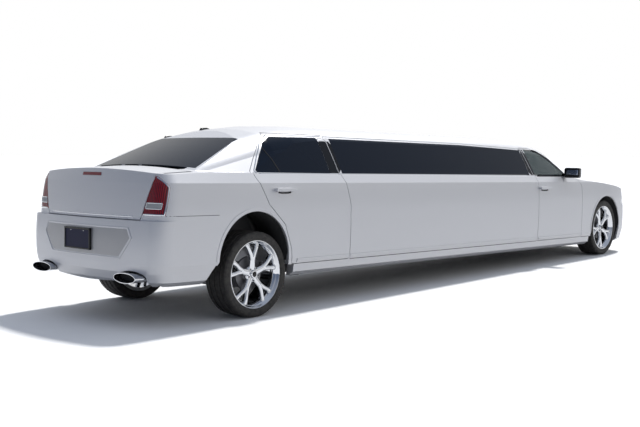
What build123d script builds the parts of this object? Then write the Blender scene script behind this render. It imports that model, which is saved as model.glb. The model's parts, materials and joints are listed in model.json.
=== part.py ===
from build123d import *
import os
from math import asin, cos, degrees, sin, sqrt

# Stretch limousine, in millimetres. X points forward, Y to the left, Z up from the ground.
# The body is drawn level, with x counted from the rear axle, and is then pitched nose down
# and lifted at the tail, as the car stands. The wheels and their carriers are drawn on the ground.

# Driving dimensions
BASE_WHEELBASE = 3052.0
STRETCH = 3556.0
WHEELBASE = BASE_WHEELBASE + STRETCH
REAR_OVERHANG = 1127.0
FRONT_OVERHANG = 865.0
HALF_WIDTH = 951.0
RAKE = 0.024
TAIL_LIFT = 149.0

# Heights on the level body
SILL_Z = 180.0
ROCKER_TOP = 284.0
CREASE_Z = 345.0
LEDGE_Z = 700.0
SHOULDER_Z = 1000.0
BELT_Z = 1080.0
CANT_Z = 1446.0
ROOF_Z = 1535.0

# Walls and clearances
GAP = 6.0
DOOR_WALL = 105.0
SKIN = 38.0
GLASS = 7.0
PILLAR = 48.0
FLOOR_Z = 255.0
FLOOR_THICK = 50.0
TRUNK_FLOOR = 420.0
ROCKER_Y = HALF_WIDTH - DOOR_WALL
RAIL_Y = 450.0
FRONT_RAIL_Y = 360.0
TUNNEL_Y = 140.0
TUNNEL_Z = 400.0
TUNNEL_WALL = 15.0
SEAT = 0.3

# Doors, lengths along the level body
REAR_DOOR_FRONT = 1195.0
FRONT_DOOR_REAR = WHEELBASE - 1870.0
FRONT_DOOR_FRONT = WHEELBASE - 723.0
DOOR_SWING = 68.0

# Wheels
TYRE_R = 370.0
TYRE_WIDTH = 255.0
TYRE_FACE_Y = 916.0
RIM_R = 294.0
RIM_WIDTH = 240.0
HUB_R = 75.0
SPINDLE_R = 32.0
SPOKES = 5
STEER_LOCK = 32.0
KINGPIN_Y = 700.0

# Wheel openings
REAR_ARCH_X = -45.0
REAR_ARCH_Z = 358.0
REAR_ARCH_R = 405.0
FRONT_ARCH_R = 430.0
WELL_EXTRA = 15.0
LIP_WIDTH = 22.0
REAR_WELL_Y = 600.0
FRONT_WELL_Y = 440.0

# Lid and bonnet
LID_FRONT = -620.0
LID_BOTTOM = LEDGE_Z + GAP
LID_HALF = 745.0
LID_OPEN = 75.0
LID_WALL = (30.0, 0.0, -45.0)
BONNET_REAR = WHEELBASE - 600.0
BONNET_SIDE_REAR = WHEELBASE - 800.0
BONNET_HALF = 775.0
BONNET_OPEN = 50.0
HINGE_RISE = 1.0
HINGE_R = 2.7
HINGE_LENGTH = 20.0
HINGE_LEAF = 3.7
LID_AXIS_Z = 1137.0
LID_HINGE_Y = 120.0
BONNET_AXIS_X = WHEELBASE - 790.0
BONNET_AXIS_Z = 1056.0
BONNET_HINGE_Y = 745.0

# Cabin, engine and grille
PARTITION_X = FRONT_DOOR_REAR - 150.0
ENGINE_Z = 275.0
GRILLE_HALF = 430.0
GRILLE_BARS = 7

# Jacking pads and towing socket
PAD_LONG = 100.0
PAD_WIDE = 60.0
PAD_DEEP = 12.0
PAD_Y = 800.0
PAD_REAR_X = 560.0
PAD_FRONT_X = WHEELBASE - 1080.0
TOW_Y = 560.0
TOW_Z = 400.0
TOW_R = 10.0
TOW_MOUTH_X = WHEELBASE + 826.0
TOW_LENGTH = 60.0

# Exhaust
PIPE_Y = 330.0
PIPE_Z = 170.0
EXHAUST_Y = 585.0
EXHAUST_Z = 246.0
TIP_HALF = 140.0
TIP_HIGH = 42.0

# Handles: rear end, front end, height
REAR_HANDLE = (178.0, 428.0, 943.0)
FRONT_HANDLE = (FRONT_DOOR_REAR + 27.0, FRONT_DOOR_REAR + 287.0, 928.0)

# Taper of the sides towards the two ends
TAIL_TAPER_X = -50.0
TAIL_TAPER_R = 8800.0
NOSE_TAPER_X = WHEELBASE + 50.0
NOSE_TAPER_R = 3000.0

os.makedirs("parts", exist_ok=True)


def ground_to_body(x, z):
    """A ground point in the level body's own coordinates."""
    c, s = cos(RAKE), sin(RAKE)
    return c * x - s * (z - TAIL_LIFT), s * x + c * (z - TAIL_LIFT)


FRONT_ARCH_X, FRONT_ARCH_Z = ground_to_body(WHEELBASE, TYRE_R)


def block(x0, x1, y0, y1, z0, z1):
    """A box between two corners."""
    size = (x1 - x0, y1 - y0, z1 - z0)
    return Pos((x0 + x1) / 2, (y0 + y1) / 2, (z0 + z1) / 2) * Box(*size)


def side_face(points, radius=0.0):
    """A closed side-view outline, x against z."""
    if radius:
        return make_face(FilletPolyline(*points, radius=radius, close=True))
    return make_face(Polyline(*points, close=True))


def side_prism(face, y0, y1):
    """A side-view outline carried across the car from y0 to y1."""
    return extrude(Plane.XZ.offset(-y1) * face, y1 - y0)


def front_prism(points, x0, x1):
    """An outline seen from ahead, y against z, carried from x0 to x1."""
    return extrude(Plane.YZ.offset(x0) * make_face(Polyline(*points, close=True)), x1 - x0)


def rod(a, b, radius):
    """A round bar between two points."""
    line = Line(a, b)
    return extrude(Plane(origin=a, z_dir=line % 0) * Circle(radius), line.length)


def mirrored(shape):
    """The same shape on the other side of the car."""
    return mirror(shape, about=Plane.XZ)


def tapered(half, dx, radius):
    """The half width where the side has curved inwards over a length dx."""
    return half - (radius - sqrt(radius * radius - dx * dx))


def plan_outline(z, narrower, tail_in, nose_in, corner=(85.0, 165.0, 110.0, 250.0)):
    """The body's outline at one height: straight sides, arcs to the corners, bowed ends."""
    tail_set, tail_r, nose_set, nose_r = corner
    half = HALF_WIDTH - narrower
    tail = -REAR_OVERHANG + tail_in
    nose = WHEELBASE + FRONT_OVERHANG - nose_in
    tx, nx = tail + tail_set, nose - nose_set
    ty = tapered(half, TAIL_TAPER_X - tx, TAIL_TAPER_R)
    ny = tapered(half, nx - NOSE_TAPER_X, NOSE_TAPER_R)
    tm, nm = (tx + TAIL_TAPER_X) / 2, (nx + NOSE_TAPER_X) / 2
    tmy = tapered(half, TAIL_TAPER_X - tm, TAIL_TAPER_R)
    nmy = tapered(half, nm - NOSE_TAPER_X, NOSE_TAPER_R)
    edges = [ThreePointArc((tx, ty), (tail, 0), (tx, -ty))]
    edges += [ThreePointArc((tx, -ty), (tm, -tmy), (TAIL_TAPER_X, -half))]
    edges += [Line((TAIL_TAPER_X, -half), (NOSE_TAPER_X, -half))]
    edges += [ThreePointArc((NOSE_TAPER_X, -half), (nm, -nmy), (nx, -ny))]
    edges += [ThreePointArc((nx, -ny), (nose, 0), (nx, ny))]
    edges += [ThreePointArc((nx, ny), (nm, nmy), (NOSE_TAPER_X, half))]
    edges += [Line((NOSE_TAPER_X, half), (TAIL_TAPER_X, half))]
    edges += [ThreePointArc((TAIL_TAPER_X, half), (tm, tmy), (tx, ty))]
    face = make_face(edges)
    tails = [v for v in face.vertices() if v.X < tx + 1]
    face = fillet(tails, tail_r)
    noses = [v for v in face.vertices() if v.X > nx - 1]
    face = fillet(noses, nose_r)
    return Plane.XY.offset(z) * face


def lofted(rows, ruled):
    """A solid through plan outlines; rows hold height, narrower, tail in, nose in."""
    return loft([plan_outline(*row) for row in rows], ruled=ruled)


def crowned(rows, half, bottom):
    """What lies under a crowned sheet; rows hold x, height on the centre line, height at the edge."""
    faces = []
    for x, mid_z, edge_z in rows:
        arc = ThreePointArc((-half, edge_z), (0, mid_z), (half, edge_z))
        sides = Polyline((half, edge_z), (half, bottom), (-half, bottom), (-half, edge_z))
        faces.append(Plane.YZ.offset(x) * make_face([arc] + sides.edges()))
    return loft(faces, ruled=True)


def lower_body():
    """The body up to the belt, solid."""
    # height, narrower each side, tail in, nose in
    sill_rows = [
        (SILL_Z, 79, 75, 70),
        (SILL_Z + 35, 33, 40, 30),
        (ROCKER_TOP, 21, 14, 10),
        (CREASE_Z, 7, 5, 3),
    ]
    door_rows = [(CREASE_Z, 7, 5, 3), (520, 0, 0, 0), (LEDGE_Z, 0, 12, 15)]
    upper_rows = [(LEDGE_Z, 0, 55, 45), (850, 5, 65, 80), (SHOULDER_Z, 25, 82, 120)]
    belt_rows = [(SHOULDER_Z, 25, 82, 120), (BELT_Z, 79, 97, 150), (BELT_Z + 70, 130, 115, 190)]
    hull = lofted(sill_rows, True) + lofted(door_rows, False)
    hull = hull + lofted(upper_rows, False) + lofted(belt_rows, True)
    # x, height on the centre line, height at the edge
    deck_rows = [
        (-REAR_OVERHANG - 73, 1080, 1012),
        (-REAR_OVERHANG + 97, 1108, 1038),
        (-800, 1122, 1052),
        (-500, 1138, 1072),
        (-100, 1120, 1078),
        (100, BELT_Z, BELT_Z - 4),
        (WHEELBASE - 1300, BELT_Z, BELT_Z - 4),
        (WHEELBASE - 950, BELT_Z, 1055),
        (WHEELBASE - 630, 1068, 1012),
        (WHEELBASE - 100, 1046, 975),
        (WHEELBASE + 300, 1012, 935),
        (WHEELBASE + 580, 960, 885),
        (WHEELBASE + 750, 890, 825),
        (WHEELBASE + 840, 800, 740),
        (WHEELBASE + 1000, 560, 520),
    ]
    return hull & crowned(deck_rows, 1000.0, 100.0)


def glasshouse_outline(z, half, back, front):
    """The glasshouse at one height; back and front hold side x, corner x, corner y, centre x."""
    side_b, corner_bx, corner_by, mid_b = back
    side_f, corner_fx, corner_fy, mid_f = front
    right = [
        ThreePointArc((corner_bx, corner_by), (mid_b, 0), (corner_bx, -corner_by)),
        TangentArc((side_b, -half), (corner_bx, -corner_by), tangent=(-1, 0)),
        Line((side_b, -half), (side_f, -half)),
        TangentArc((side_f, -half), (corner_fx, -corner_fy), tangent=(1, 0)),
        ThreePointArc((corner_fx, -corner_fy), (mid_f, 0), (corner_fx, corner_fy)),
        TangentArc((side_f, half), (corner_fx, corner_fy), tangent=(1, 0)),
        Line((side_f, half), (side_b, half)),
        TangentArc((side_b, half), (corner_bx, corner_by), tangent=(-1, 0)),
    ]
    return Plane.XY.offset(z) * make_face(right)


def roof_section(x, top):
    """The roof's cross-section, low in the middle of its height at the two cant rails."""
    half, drop, edge_half, edge_drop = 500.0, 43.0, 740.0, 205.0
    radius = (half * half + drop * drop) / (2 * drop)
    slope = asin(half / radius)
    mid = ThreePointArc((-half, top - drop), (0, top), (half, top - drop))
    right = TangentArc((half, top - drop), (edge_half, top - edge_drop), tangent=(cos(slope), -sin(slope)))
    left = TangentArc((-half, top - drop), (-edge_half, top - edge_drop), tangent=(-cos(slope), -sin(slope)))
    low, wide = top - edge_drop, HALF_WIDTH + 50
    base = Polyline(
        (edge_half, low), (wide, low - 300), (wide, SILL_Z), (-wide, SILL_Z), (-wide, low - 300), (-edge_half, low)
    )
    return Plane.YZ.offset(x) * make_face([mid, right, left] + base.edges())


def glasshouse():
    """The glasshouse from inside the belt to the roof, solid."""
    wb = WHEELBASE
    sections = [
        glasshouse_outline(SHOULDER_Z, 893, (200, -771, 781, -890), (wb - 1600, wb - 841, 872, wb - 519)),
        glasshouse_outline(1260, 762, (450, -177, 651, -250), (wb - 1850, wb - 1178, 735, wb - 962)),
        glasshouse_outline(1560, 592, (900, 508, 500, 488), (wb - 2100, wb - 1568, 535, wb - 1473)),
    ]
    # x, height on the centre line
    roof_rows = [
        (-900, ROOF_Z - 345),
        (100, ROOF_Z - 105),
        (350, ROOF_Z - 50),
        (650, ROOF_Z - 15),
        (1050, ROOF_Z),
        (wb - 2400, ROOF_Z),
        (wb - 1900, ROOF_Z - 12),
        (wb - 1600, ROOF_Z - 30),
        (wb - 1330, ROOF_Z - 58),
        (wb - 700, ROOF_Z - 165),
    ]
    roof = loft([roof_section(*row) for row in roof_rows], ruled=True)
    return loft(sections, ruled=False) & roof


def cabin_space(glass_house):
    """The hollow of the two cabins, narrower inside the glasshouse by the pillars' depth."""
    inner = HALF_WIDTH - DOOR_WALL
    right = [(-inner, FLOOR_Z), (-inner, SHOULDER_Z), (-808, 1060), (-598, 1425), (-430, 1470), (0, ROOF_Z - 48)]
    left = [(-y, z) for y, z in reversed(right[:-1])]
    section = front_prism(right + left, -700, WHEELBASE - 500)
    wb = WHEELBASE
    profile = [
        (430, FLOOR_Z),
        (330, 420),
        (30, 960),
        (-60, 1020),
        (-520, 1020),
        (-500, 1090),
        (140, 1370),
        (350, 1440),
        (650, ROOF_Z - 60),
        (1050, ROOF_Z - 48),
        (wb - 2400, ROOF_Z - 48),
        (wb - 1900, ROOF_Z - 62),
        (wb - 1480, ROOF_Z - 105),
        (wb - 760, 1050),
        (wb - 800, 1000),
        (wb - 880, 960),
        (wb - 950, 450),
        (wb - 1000, FLOOR_Z),
    ]
    hollow = section & side_prism(side_face(profile), -1000, 1000)
    split = BELT_Z - 20
    high = hollow & block(-1000, WHEELBASE, -1000, 1000, split, ROOF_Z)
    for way in (-PILLAR, PILLAR):
        high = high & glass_house.moved(Location((0, way, 0)))
    return (hollow & block(-1000, WHEELBASE, -1000, 1000, 0, split)) + high


def arch_face(x, z, radius, front_foot, rear_foot):
    """A wheel opening in side view: a round head on two straight legs."""
    head = ThreePointArc((x + radius, z), (x, z + radius), (x - radius, z))
    legs = Polyline((x - radius, z), (x - rear_foot, 60), (x + front_foot, 60), (x + radius, z))
    return make_face([head] + legs.edges())


def wheel_wells():
    """The four wheel wells with their narrower openings in the skin."""
    lip = HALF_WIDTH - LIP_WIDTH
    rows = [
        (REAR_ARCH_X, REAR_ARCH_Z, REAR_ARCH_R, 445, 610, REAR_WELL_Y),
        (FRONT_ARCH_X, FRONT_ARCH_Z, FRONT_ARCH_R, FRONT_ARCH_R, FRONT_ARCH_R, FRONT_WELL_Y),
    ]
    wells = []
    for x, z, radius, front_foot, rear_foot, inner in rows:
        opening = side_prism(arch_face(x, z, radius, front_foot, rear_foot), -1100, -lip)
        wide = arch_face(x, z, radius + WELL_EXTRA, front_foot + WELL_EXTRA, rear_foot + WELL_EXTRA)
        well = opening + side_prism(wide, -lip - 1, -inner)
        wells += [well, mirrored(well)]
    return wells


def rear_door_face():
    """The rear door's shut line in side view."""
    points = [
        (REAR_DOOR_FRONT, ROCKER_TOP),
        (REAR_DOOR_FRONT, 800),
        (1128, BELT_Z),
        (1100, CANT_Z),
        (400, CANT_Z),
        (250, 1370),
        (-20, 1100),
        (-12, 1040),
        (104, 817),
        (300, 640),
        (388, 420),
        (404, ROCKER_TOP),
    ]
    return side_face(points, 18.0)


def front_door_face():
    """The front door's shut line in side view."""
    f = FRONT_DOOR_FRONT
    points = [
        (f, ROCKER_TOP),
        (f, 950),
        (f - 80, 1040),
        (f - 245, BELT_Z + 8),
        (f - 520, 1290),
        (f - 720, 1388),
        (f - 900, CANT_Z - 26),
        (FRONT_DOOR_REAR - 22, CANT_Z - 30),
        (FRONT_DOOR_REAR + 24, BELT_Z),
        (FRONT_DOOR_REAR + 6, 800),
        (FRONT_DOOR_REAR, ROCKER_TOP),
    ]
    return side_face(points, 18.0)


WINDOW_Z = 1090.0


def rear_door_window():
    return side_face([(1000, WINDOW_Z - 4), (990, 1418), (420, 1410), (285, 1352), (45, 1108), (60, WINDOW_Z)], 10.0)


def front_door_window():
    f = FRONT_DOOR_FRONT
    points = [
        (FRONT_DOOR_REAR + 62, WINDOW_Z),
        (FRONT_DOOR_REAR + 40, 1385),
        (f - 900, 1382),
        (f - 735, 1352),
        (f - 540, 1254),
        (f - 300, WINDOW_Z + 8),
        (f - 320, WINDOW_Z),
    ]
    return side_face(points, 10.0)


def long_window():
    points = [
        (1170, WINDOW_Z - 8),
        (1160, 1414),
        (WHEELBASE - 3200, 1414),
        (FRONT_DOOR_REAR - 70, 1384),
        (FRONT_DOOR_REAR - 62, WINDOW_Z - 8),
    ]
    return side_face(points, 10.0)


def roof_cut():
    """Side-view outline of what belongs to the roof panel."""
    wb = WHEELBASE
    points = [
        (-300, 1385),
        (290, 1385),
        (400, CANT_Z),
        (wb - 3200, CANT_Z),
        (FRONT_DOOR_REAR - 22, CANT_Z - 30),
        (FRONT_DOOR_FRONT - 900, CANT_Z - 26),
        (FRONT_DOOR_FRONT - 800, 1398),
        (wb - 900, 1398),
        (wb - 900, ROOF_Z + 100),
        (-300, ROOF_Z + 100),
    ]
    return side_prism(side_face(points), -1000, 1000)


def lid_zone(grow):
    """The space that the trunk lid closes, grown all round."""
    y = LID_HALF + grow
    low = 633 + grow
    step = 655 + grow
    points = [(-low, LID_BOTTOM - grow), (low, LID_BOTTOM - grow), (step, 745), (y, 1030), (y, 1300)]
    points += [(-y, 1300), (-y, 1030), (-step, 745)]
    return front_prism(points, -REAR_OVERHANG - 50, LID_FRONT + grow)


def bonnet_zone(grow):
    """The space that the bonnet closes, grown all round."""
    side, rear, corner = BONNET_HALF + grow, BONNET_REAR - grow, BONNET_SIDE_REAR - grow
    tip = WHEELBASE + 770 + grow
    arc = ThreePointArc((corner, side), (rear, 0), (corner, -side))
    wb = WHEELBASE
    front = ThreePointArc((wb + 640, -640 - grow), (tip, 0), (wb + 640, 640 + grow))
    right = Polyline((corner, -side), (wb + 100, -side - 15), (wb + 640, -640 - grow))
    left = Polyline((wb + 640, 640 + grow), (wb + 100, side + 15), (corner, side))
    face = make_face([arc, front] + right.edges() + left.edges())
    return extrude(Plane.XY.offset(820 - grow) * face, 600)


def windshield_zone():
    """Plan outline of the windshield's daylight."""
    wb = WHEELBASE
    top = ThreePointArc((wb - 1440, 520), (wb - 1345, 0), (wb - 1440, -520))
    bottom = ThreePointArc((wb - 955, -775), (wb - 668, 0), (wb - 955, 775))
    sides = [Line((wb - 1440, -520), (wb - 955, -775)), Line((wb - 1440, 520), (wb - 955, 775))]
    return extrude(Plane.XY.offset(1040) * make_face([top, bottom] + sides), 520)


def backlight_zone():
    """Plan outline of the rear window's daylight."""
    top = ThreePointArc((110, 545), (80, 0), (110, -545))
    bottom = ThreePointArc((-507, -690), (-535, 0), (-507, 690))
    sides = [Line((110, -545), (-507, -690)), Line((110, 545), (-507, 690))]
    return extrude(Plane.XY.offset(1060) * make_face([top, bottom] + sides), 500)


def sheet(outer, zone, shift):
    """The skin of the outer form inside a zone, as thick as the shift."""
    return (outer & zone) - outer.moved(Location(shift))


def largest(shape):
    """The largest solid of a cut, without slivers."""
    return max(shape.solids(), key=lambda s: s.volume)


def pair(right):
    """A right-hand piece and its mirror image, as one node."""
    return Compound(children=[right, mirrored(right)])


def body_shell(outer, hollow):
    """The whole body hollowed out."""
    wb = WHEELBASE
    shell = outer - hollow
    # trunk behind and between the wheel wells
    shell = shell - block(-985, -899, -690, 690, TRUNK_FLOOR, 1200)
    shell = shell - block(-900, LID_FRONT + GAP, -790, 790, TRUNK_FLOOR, 1200)
    shell = shell - block(LID_FRONT, -470, -790, 790, TRUNK_FLOOR, 1085)
    shell = shell - block(-471, -20, -570, 570, TRUNK_FLOOR, 970)
    # behind the rear bumper and under the trunk
    shell = shell - block(-1060, -470, -620, 620, 60, TRUNK_FLOOR + 1)
    shell = shell - block(-960, -470, -800, 800, 60, TRUNK_FLOOR + 1)
    shell = shell - block(-471, 431, -590, 590, 60, TRUNK_FLOOR + 1)
    shell = shell - tunnel(0)
    # under the bonnet, narrow between the wells
    well = FRONT_ARCH_R + WELL_EXTRA + 20
    shell = shell - block(wb - 880, wb - well, -600, 600, 60, 900)
    shell = shell - block(wb - well - 1, wb + well, 20 - FRONT_WELL_Y, FRONT_WELL_Y - 20, 60, 900)
    shell = shell - block(wb + well - 1, wb + 730, -600, 600, 60, 900)
    shell = shell - block(wb + well - 1, wb + 765, -800, 800, 60, 640)
    # under the floor, inside the rockers
    shell = shell - block(430, wb - 870, -ROCKER_Y, ROCKER_Y, 60, FLOOR_Z + 1)
    for well in wheel_wells():
        shell = shell - well
    return shell


def door_panel(half, face, window):
    """One right-hand door, as thick as the wall, with its window cut and a pull handle."""
    panel = half & side_prism(offset(face, -GAP), -1100, -300)
    front = panel.bounding_box().max.X
    panel = panel - side_prism(window, -1100, -300)
    inner = HALF_WIDTH - DOOR_WALL
    return largest(panel - block(front - 400, front + 10, -inner, 0, 0, BELT_Z - 18))


def door_handle(x0, x1, z):
    """A pull handle standing off the door skin on two feet."""
    y = HALF_WIDTH - 14
    bar = block(x0, x1, -y - 36, -y - 20, z - 14, z + 14)
    feet = block(x0, x0 + 30, -y - 21, -y + 22, z - 12, z + 12) + block(x1 - 30, x1, -y - 21, -y + 22, z - 12, z + 12)
    return bar + feet


def side_glass(glass_house, face):
    """A pane that fills a window opening, as thick as the glass, on the right side."""
    zone = side_prism(face, -1100, -300)
    return largest((glass_house & zone) - glass_house.moved(Location((0, GLASS, -GLASS / 2))))


def long_pane(glass_house):
    """The right pane of the stretch, from the straight part of the glasshouse."""
    middle = Plane.YZ.offset(WHEELBASE / 2) * Pos(0, CANT_Z) * Rectangle(2 * HALF_WIDTH + 200, 1000)
    section = (middle & glass_house).faces()[0]
    bar = extrude(section.moved(Location((-STRETCH / 2 - 400, 0, 0))), STRETCH + 800, dir=(1, 0, 0))
    return side_glass(bar, long_window())


def tail_lamp_zone():
    """The space of the two tail lamps: a tall leaf wrapped round each corner."""
    side = side_face([(-1300, 745), (-960, 745), (-915, 965), (-958, 1052), (-1300, 1052)])
    return side_prism(side, -1000, 1000)


def rear_bumper_zone():
    return block(-REAR_OVERHANG - 100, -300, -1000, 1000, 60, 742)


def front_bumper_zone():
    wb = WHEELBASE
    points = [(wb + 200, 60), (wb + 200, 560), (wb + 440, 560), (wb + 620, 655), (wb + 950, 655), (wb + 950, 60)]
    return side_prism(side_face(points), -1000, 1000)


def headlamp_zone():
    wb = WHEELBASE
    side = side_face([(wb + 480, 740), (wb + 640, 656), (wb + 950, 656), (wb + 950, 813), (wb + 640, 813)])
    return side_prism(side, -1000, 1000) - block(wb, wb + 1000, -GRILLE_HALF, GRILLE_HALF, 0, 1000)


def grille_zone(grow=0.0):
    half = GRILLE_HALF + grow
    return block(WHEELBASE + 690, WHEELBASE + 1000, -half, half, 470 - grow, 813 + grow)


def grille(shell):
    """A plain upright surround with level bars."""
    wall = shell & grille_zone()
    box = block(WHEELBASE + 600, WHEELBASE + 1000, -GRILLE_HALF + 35, GRILLE_HALF - 35, 505, 785)
    bars = []
    height = (785 - 505) / GRILLE_BARS
    for i in range(1, GRILLE_BARS):
        z = 505 + i * height
        bars.append(block(WHEELBASE + 690, WHEELBASE + 1000, -GRILLE_HALF + 30, GRILLE_HALF - 30, z - 7, z + 7))
    slats = Part() + bars
    return largest((wall - box) + (wall & slats))


def floor():
    """The two halves of the floor, each with its long rail and jacking pads."""
    low = FLOOR_Z - FLOOR_THICK
    plate = block(430, WHEELBASE - 1000, -ROCKER_Y, -TUNNEL_Y, low, FLOOR_Z)
    rail = block(431, WHEELBASE - 1001, -RAIL_Y - 40, -RAIL_Y + 40, low - 35, low + 1)
    return pair(plate + rail + jack_pad(PAD_REAR_X) + jack_pad(PAD_FRONT_X))


def trunk_floor():
    """The kick-up over the axle, the trunk's floor and its two rails."""
    low = FLOOR_Z - FLOOR_THICK
    kick = [(430, low), (430, FLOOR_Z), (330, TRUNK_FLOOR), (280, TRUNK_FLOOR), (280, TRUNK_FLOOR - 40), (390, low)]
    shape = side_prism(side_face(kick), -585, 585)
    shape = shape + block(-1000, 281, -565, 565, TRUNK_FLOOR - 40, TRUNK_FLOOR)
    for y in (-RAIL_Y, RAIL_Y):
        shape = shape + block(-1000, 300, y - 40, y + 40, TRUNK_FLOOR - 90, TRUNK_FLOOR - 39)
    return shape - block(0, 431, -TUNNEL_Y, TUNNEL_Y, low - 10, TRUNK_FLOOR - 40)


def front_rails():
    """The two rails beside the engine."""
    shape = Part()
    for y in (-FRONT_RAIL_Y, FRONT_RAIL_Y):
        shape = shape + block(WHEELBASE - 880, WHEELBASE + 700, y - 35, y + 35, RAIL_BOTTOM, RAIL_BOTTOM + 90)
    return shape


def partition(hollow):
    """The wall behind the driver, with its window."""
    x = PARTITION_X
    return (hollow & block(x, x + 40, -1000, 1000, 0, 2000)) - block(x - 1, x + 41, -520, 520, 1000, 1330)


def bar_counter():
    """The bar along the right side, open towards the aisle."""
    x = PARTITION_X
    inner = HALF_WIDTH - DOOR_WALL
    bar = block(x - 2300, x, -inner, -inner + 330, FLOOR_Z, 800)
    return bar - block(x - 2240, x - 60, -inner + 60, -inner + 331, 420, 740)


def front_seats():
    """Two bucket seats; the profile is the side view of cushion, back and head restraint."""
    hx = WHEELBASE - 1450
    profile = [
        (hx + 320, FLOOR_Z),
        (hx + 360, 500),
        (hx + 300, 545),
        (hx - 60, 500),
        (hx - 200, 1010),
        (hx - 190, 1060),
        (hx - 200, 1225),
        (hx - 290, 1225),
        (hx - 290, 1060),
        (hx - 310, 1000),
        (hx - 190, 400),
        (hx - 120, FLOOR_Z),
    ]
    return pair(side_prism(side_face(profile), -650, -150))


def lounge_seats():
    """The rear bench and the long seat down the left side."""
    bench_profile = [
        (436, FLOOR_Z),
        (336, 420),
        (70, 899),
        (140, 960),
        (215, 960),
        (440, 560),
        (930, 590),
        (950, 540),
        (930, FLOOR_Z),
    ]
    bench = side_prism(side_face(bench_profile), -560, 560)
    inner = HALF_WIDTH - DOOR_WALL
    x0, x1 = REAR_DOOR_FRONT + 60, PARTITION_X - 60
    section = [(inner, FLOOR_Z), (inner, 960), (inner - 110, 960), (inner - 170, 600), (inner - 480, 585)]
    section += [(inner - 480, FLOOR_Z)]
    return Compound(children=[bench, front_prism(section, x0, x1)])


def dashboard():
    """The dashboard on the bulkhead."""
    wb = WHEELBASE
    foot = wb - 880 - 70 * (960 - 640) / (960 - 450)
    profile = [(wb - 880, 960), (wb - 1080, 985), (wb - 1150, 900), (wb - 1100, 700), (foot, 640)]
    return side_prism(side_face(profile), -830, 830)


def steering_wheel():
    """The steering wheel on its column."""
    centre = (WHEELBASE - 1270, 400, 900)
    tilt = Pos(*centre) * Rot(0, -65, 0)
    ring = tilt * Torus(185, 15)
    hub = tilt * Cylinder(45, 40)
    arms = tilt * (Box(370, 26, 14) + Pos(-90, 0, 0) * Box(180, 26, 14))
    column = rod(centre, (WHEELBASE - 1100, 400, 821), 28)
    return largest(ring + hub + arms + column - dashboard())


def tunnel(wall):
    """The space of the transmission tunnel, less a wall at its sides and top."""
    y = TUNNEL_Y - wall
    return block(380, WHEELBASE - 860, -y, y, FLOOR_Z - FLOOR_THICK - 10, TUNNEL_Z - wall)


def engine():
    """The engine, a plain block of its real size."""
    return block(WHEELBASE - 330, WHEELBASE + 380, -270, 270, ENGINE_Z, ENGINE_Z + 440)


def gearbox():
    """The gearbox behind the engine, narrowing to the shaft."""
    wide = Plane.YZ.offset(WHEELBASE - 330) * Pos(0, ENGINE_Z + 150) * Circle(140)
    narrow = Plane.YZ.offset(WHEELBASE - 850) * Pos(0, ENGINE_Z + 20) * Circle(75)
    return loft([wide, narrow], ruled=True)


REAR_X, REAR_Z = ground_to_body(0, TYRE_R)
WHEEL_Y = TYRE_FACE_Y - TYRE_WIDTH / 2
CARRIER_Y = 655.0
RAIL_BOTTOM = FLOOR_Z + 20


def rear_axle():
    """The final drive on its crossmember, the half shafts and the two hub carriers."""
    x, z = REAR_X, REAR_Z
    shape = Pos(x, 0, z) * Rot(90, 0, 0) * Cylinder(105, 240)
    shape = shape + block(x - 60, x + 60, -RAIL_Y - 40, RAIL_Y + 40, z + 60, TRUNK_FLOOR - 90)
    shape = shape + block(x - 50, x + 50, -CARRIER_Y, CARRIER_Y, z - 135, z - 104)
    shape = shape + rod((x, -CARRIER_Y, z), (x, CARRIER_Y, z), 20)
    for side in (-1, 1):
        y0, y1 = sorted((side * (CARRIER_Y - 40), side * CARRIER_Y))
        shape = shape + block(x - 55, x + 55, y0, y1, z - 135, z + 90)
        shape = shape + rod((x, side * (CARRIER_Y - 1), z), (x, side * (WHEEL_Y + 70), z), SPINDLE_R)
    shaft = rod((REAR_X + 90, 0, REAR_Z + 20), (WHEELBASE - 853, 0, ENGINE_Z + 20), 36)
    return shape + shaft


def front_subframe():
    """The crossmember under the engine, its lower and upper arms and the coil-over legs."""
    x, z = FRONT_ARCH_X, FRONT_ARCH_Z
    arm = 125 + SEAT
    rail = FRONT_RAIL_Y
    shape = block(x - 80, x + 80, -rail - 35, rail + 35, z - 180, RAIL_BOTTOM)
    for side in (-1, 1):
        y0, y1 = sorted((side * (rail + 30), side * (KINGPIN_Y + 20)))
        shape = shape + block(x - 85, x + 85, y0, y1, z - arm - 25, z - arm)
        y0, y1 = sorted((side * FRONT_WELL_Y, side * (KINGPIN_Y + 20)))
        upper = block(x - 35, x + 25, y0, y1, z + arm, z + arm + 25)
        leg = rod((x + 60, side * 560, z - arm - 5), (x + 60, side * 560, z + 600), 32)
        ceiling = rod((x, -900, z), (x, 900, z), FRONT_ARCH_R + WELL_EXTRA)
        shape = shape + (leg & ceiling) + upper
    return shape


def knuckle():
    """The right front upright with its two ball pins and its spindle."""
    x, z, y = FRONT_ARCH_X, FRONT_ARCH_Z, KINGPIN_Y
    upright = block(x - 40, x + 40, -y - 5, -y + 60, z - 110, z + 110)
    pins = rod((x, -y, z - 125), (x, -y, z + 125), 15)
    spindle = rod((x, -y, z), (x, -WHEEL_Y - 70, z), SPINDLE_R)
    return upright + pins + spindle


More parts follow.
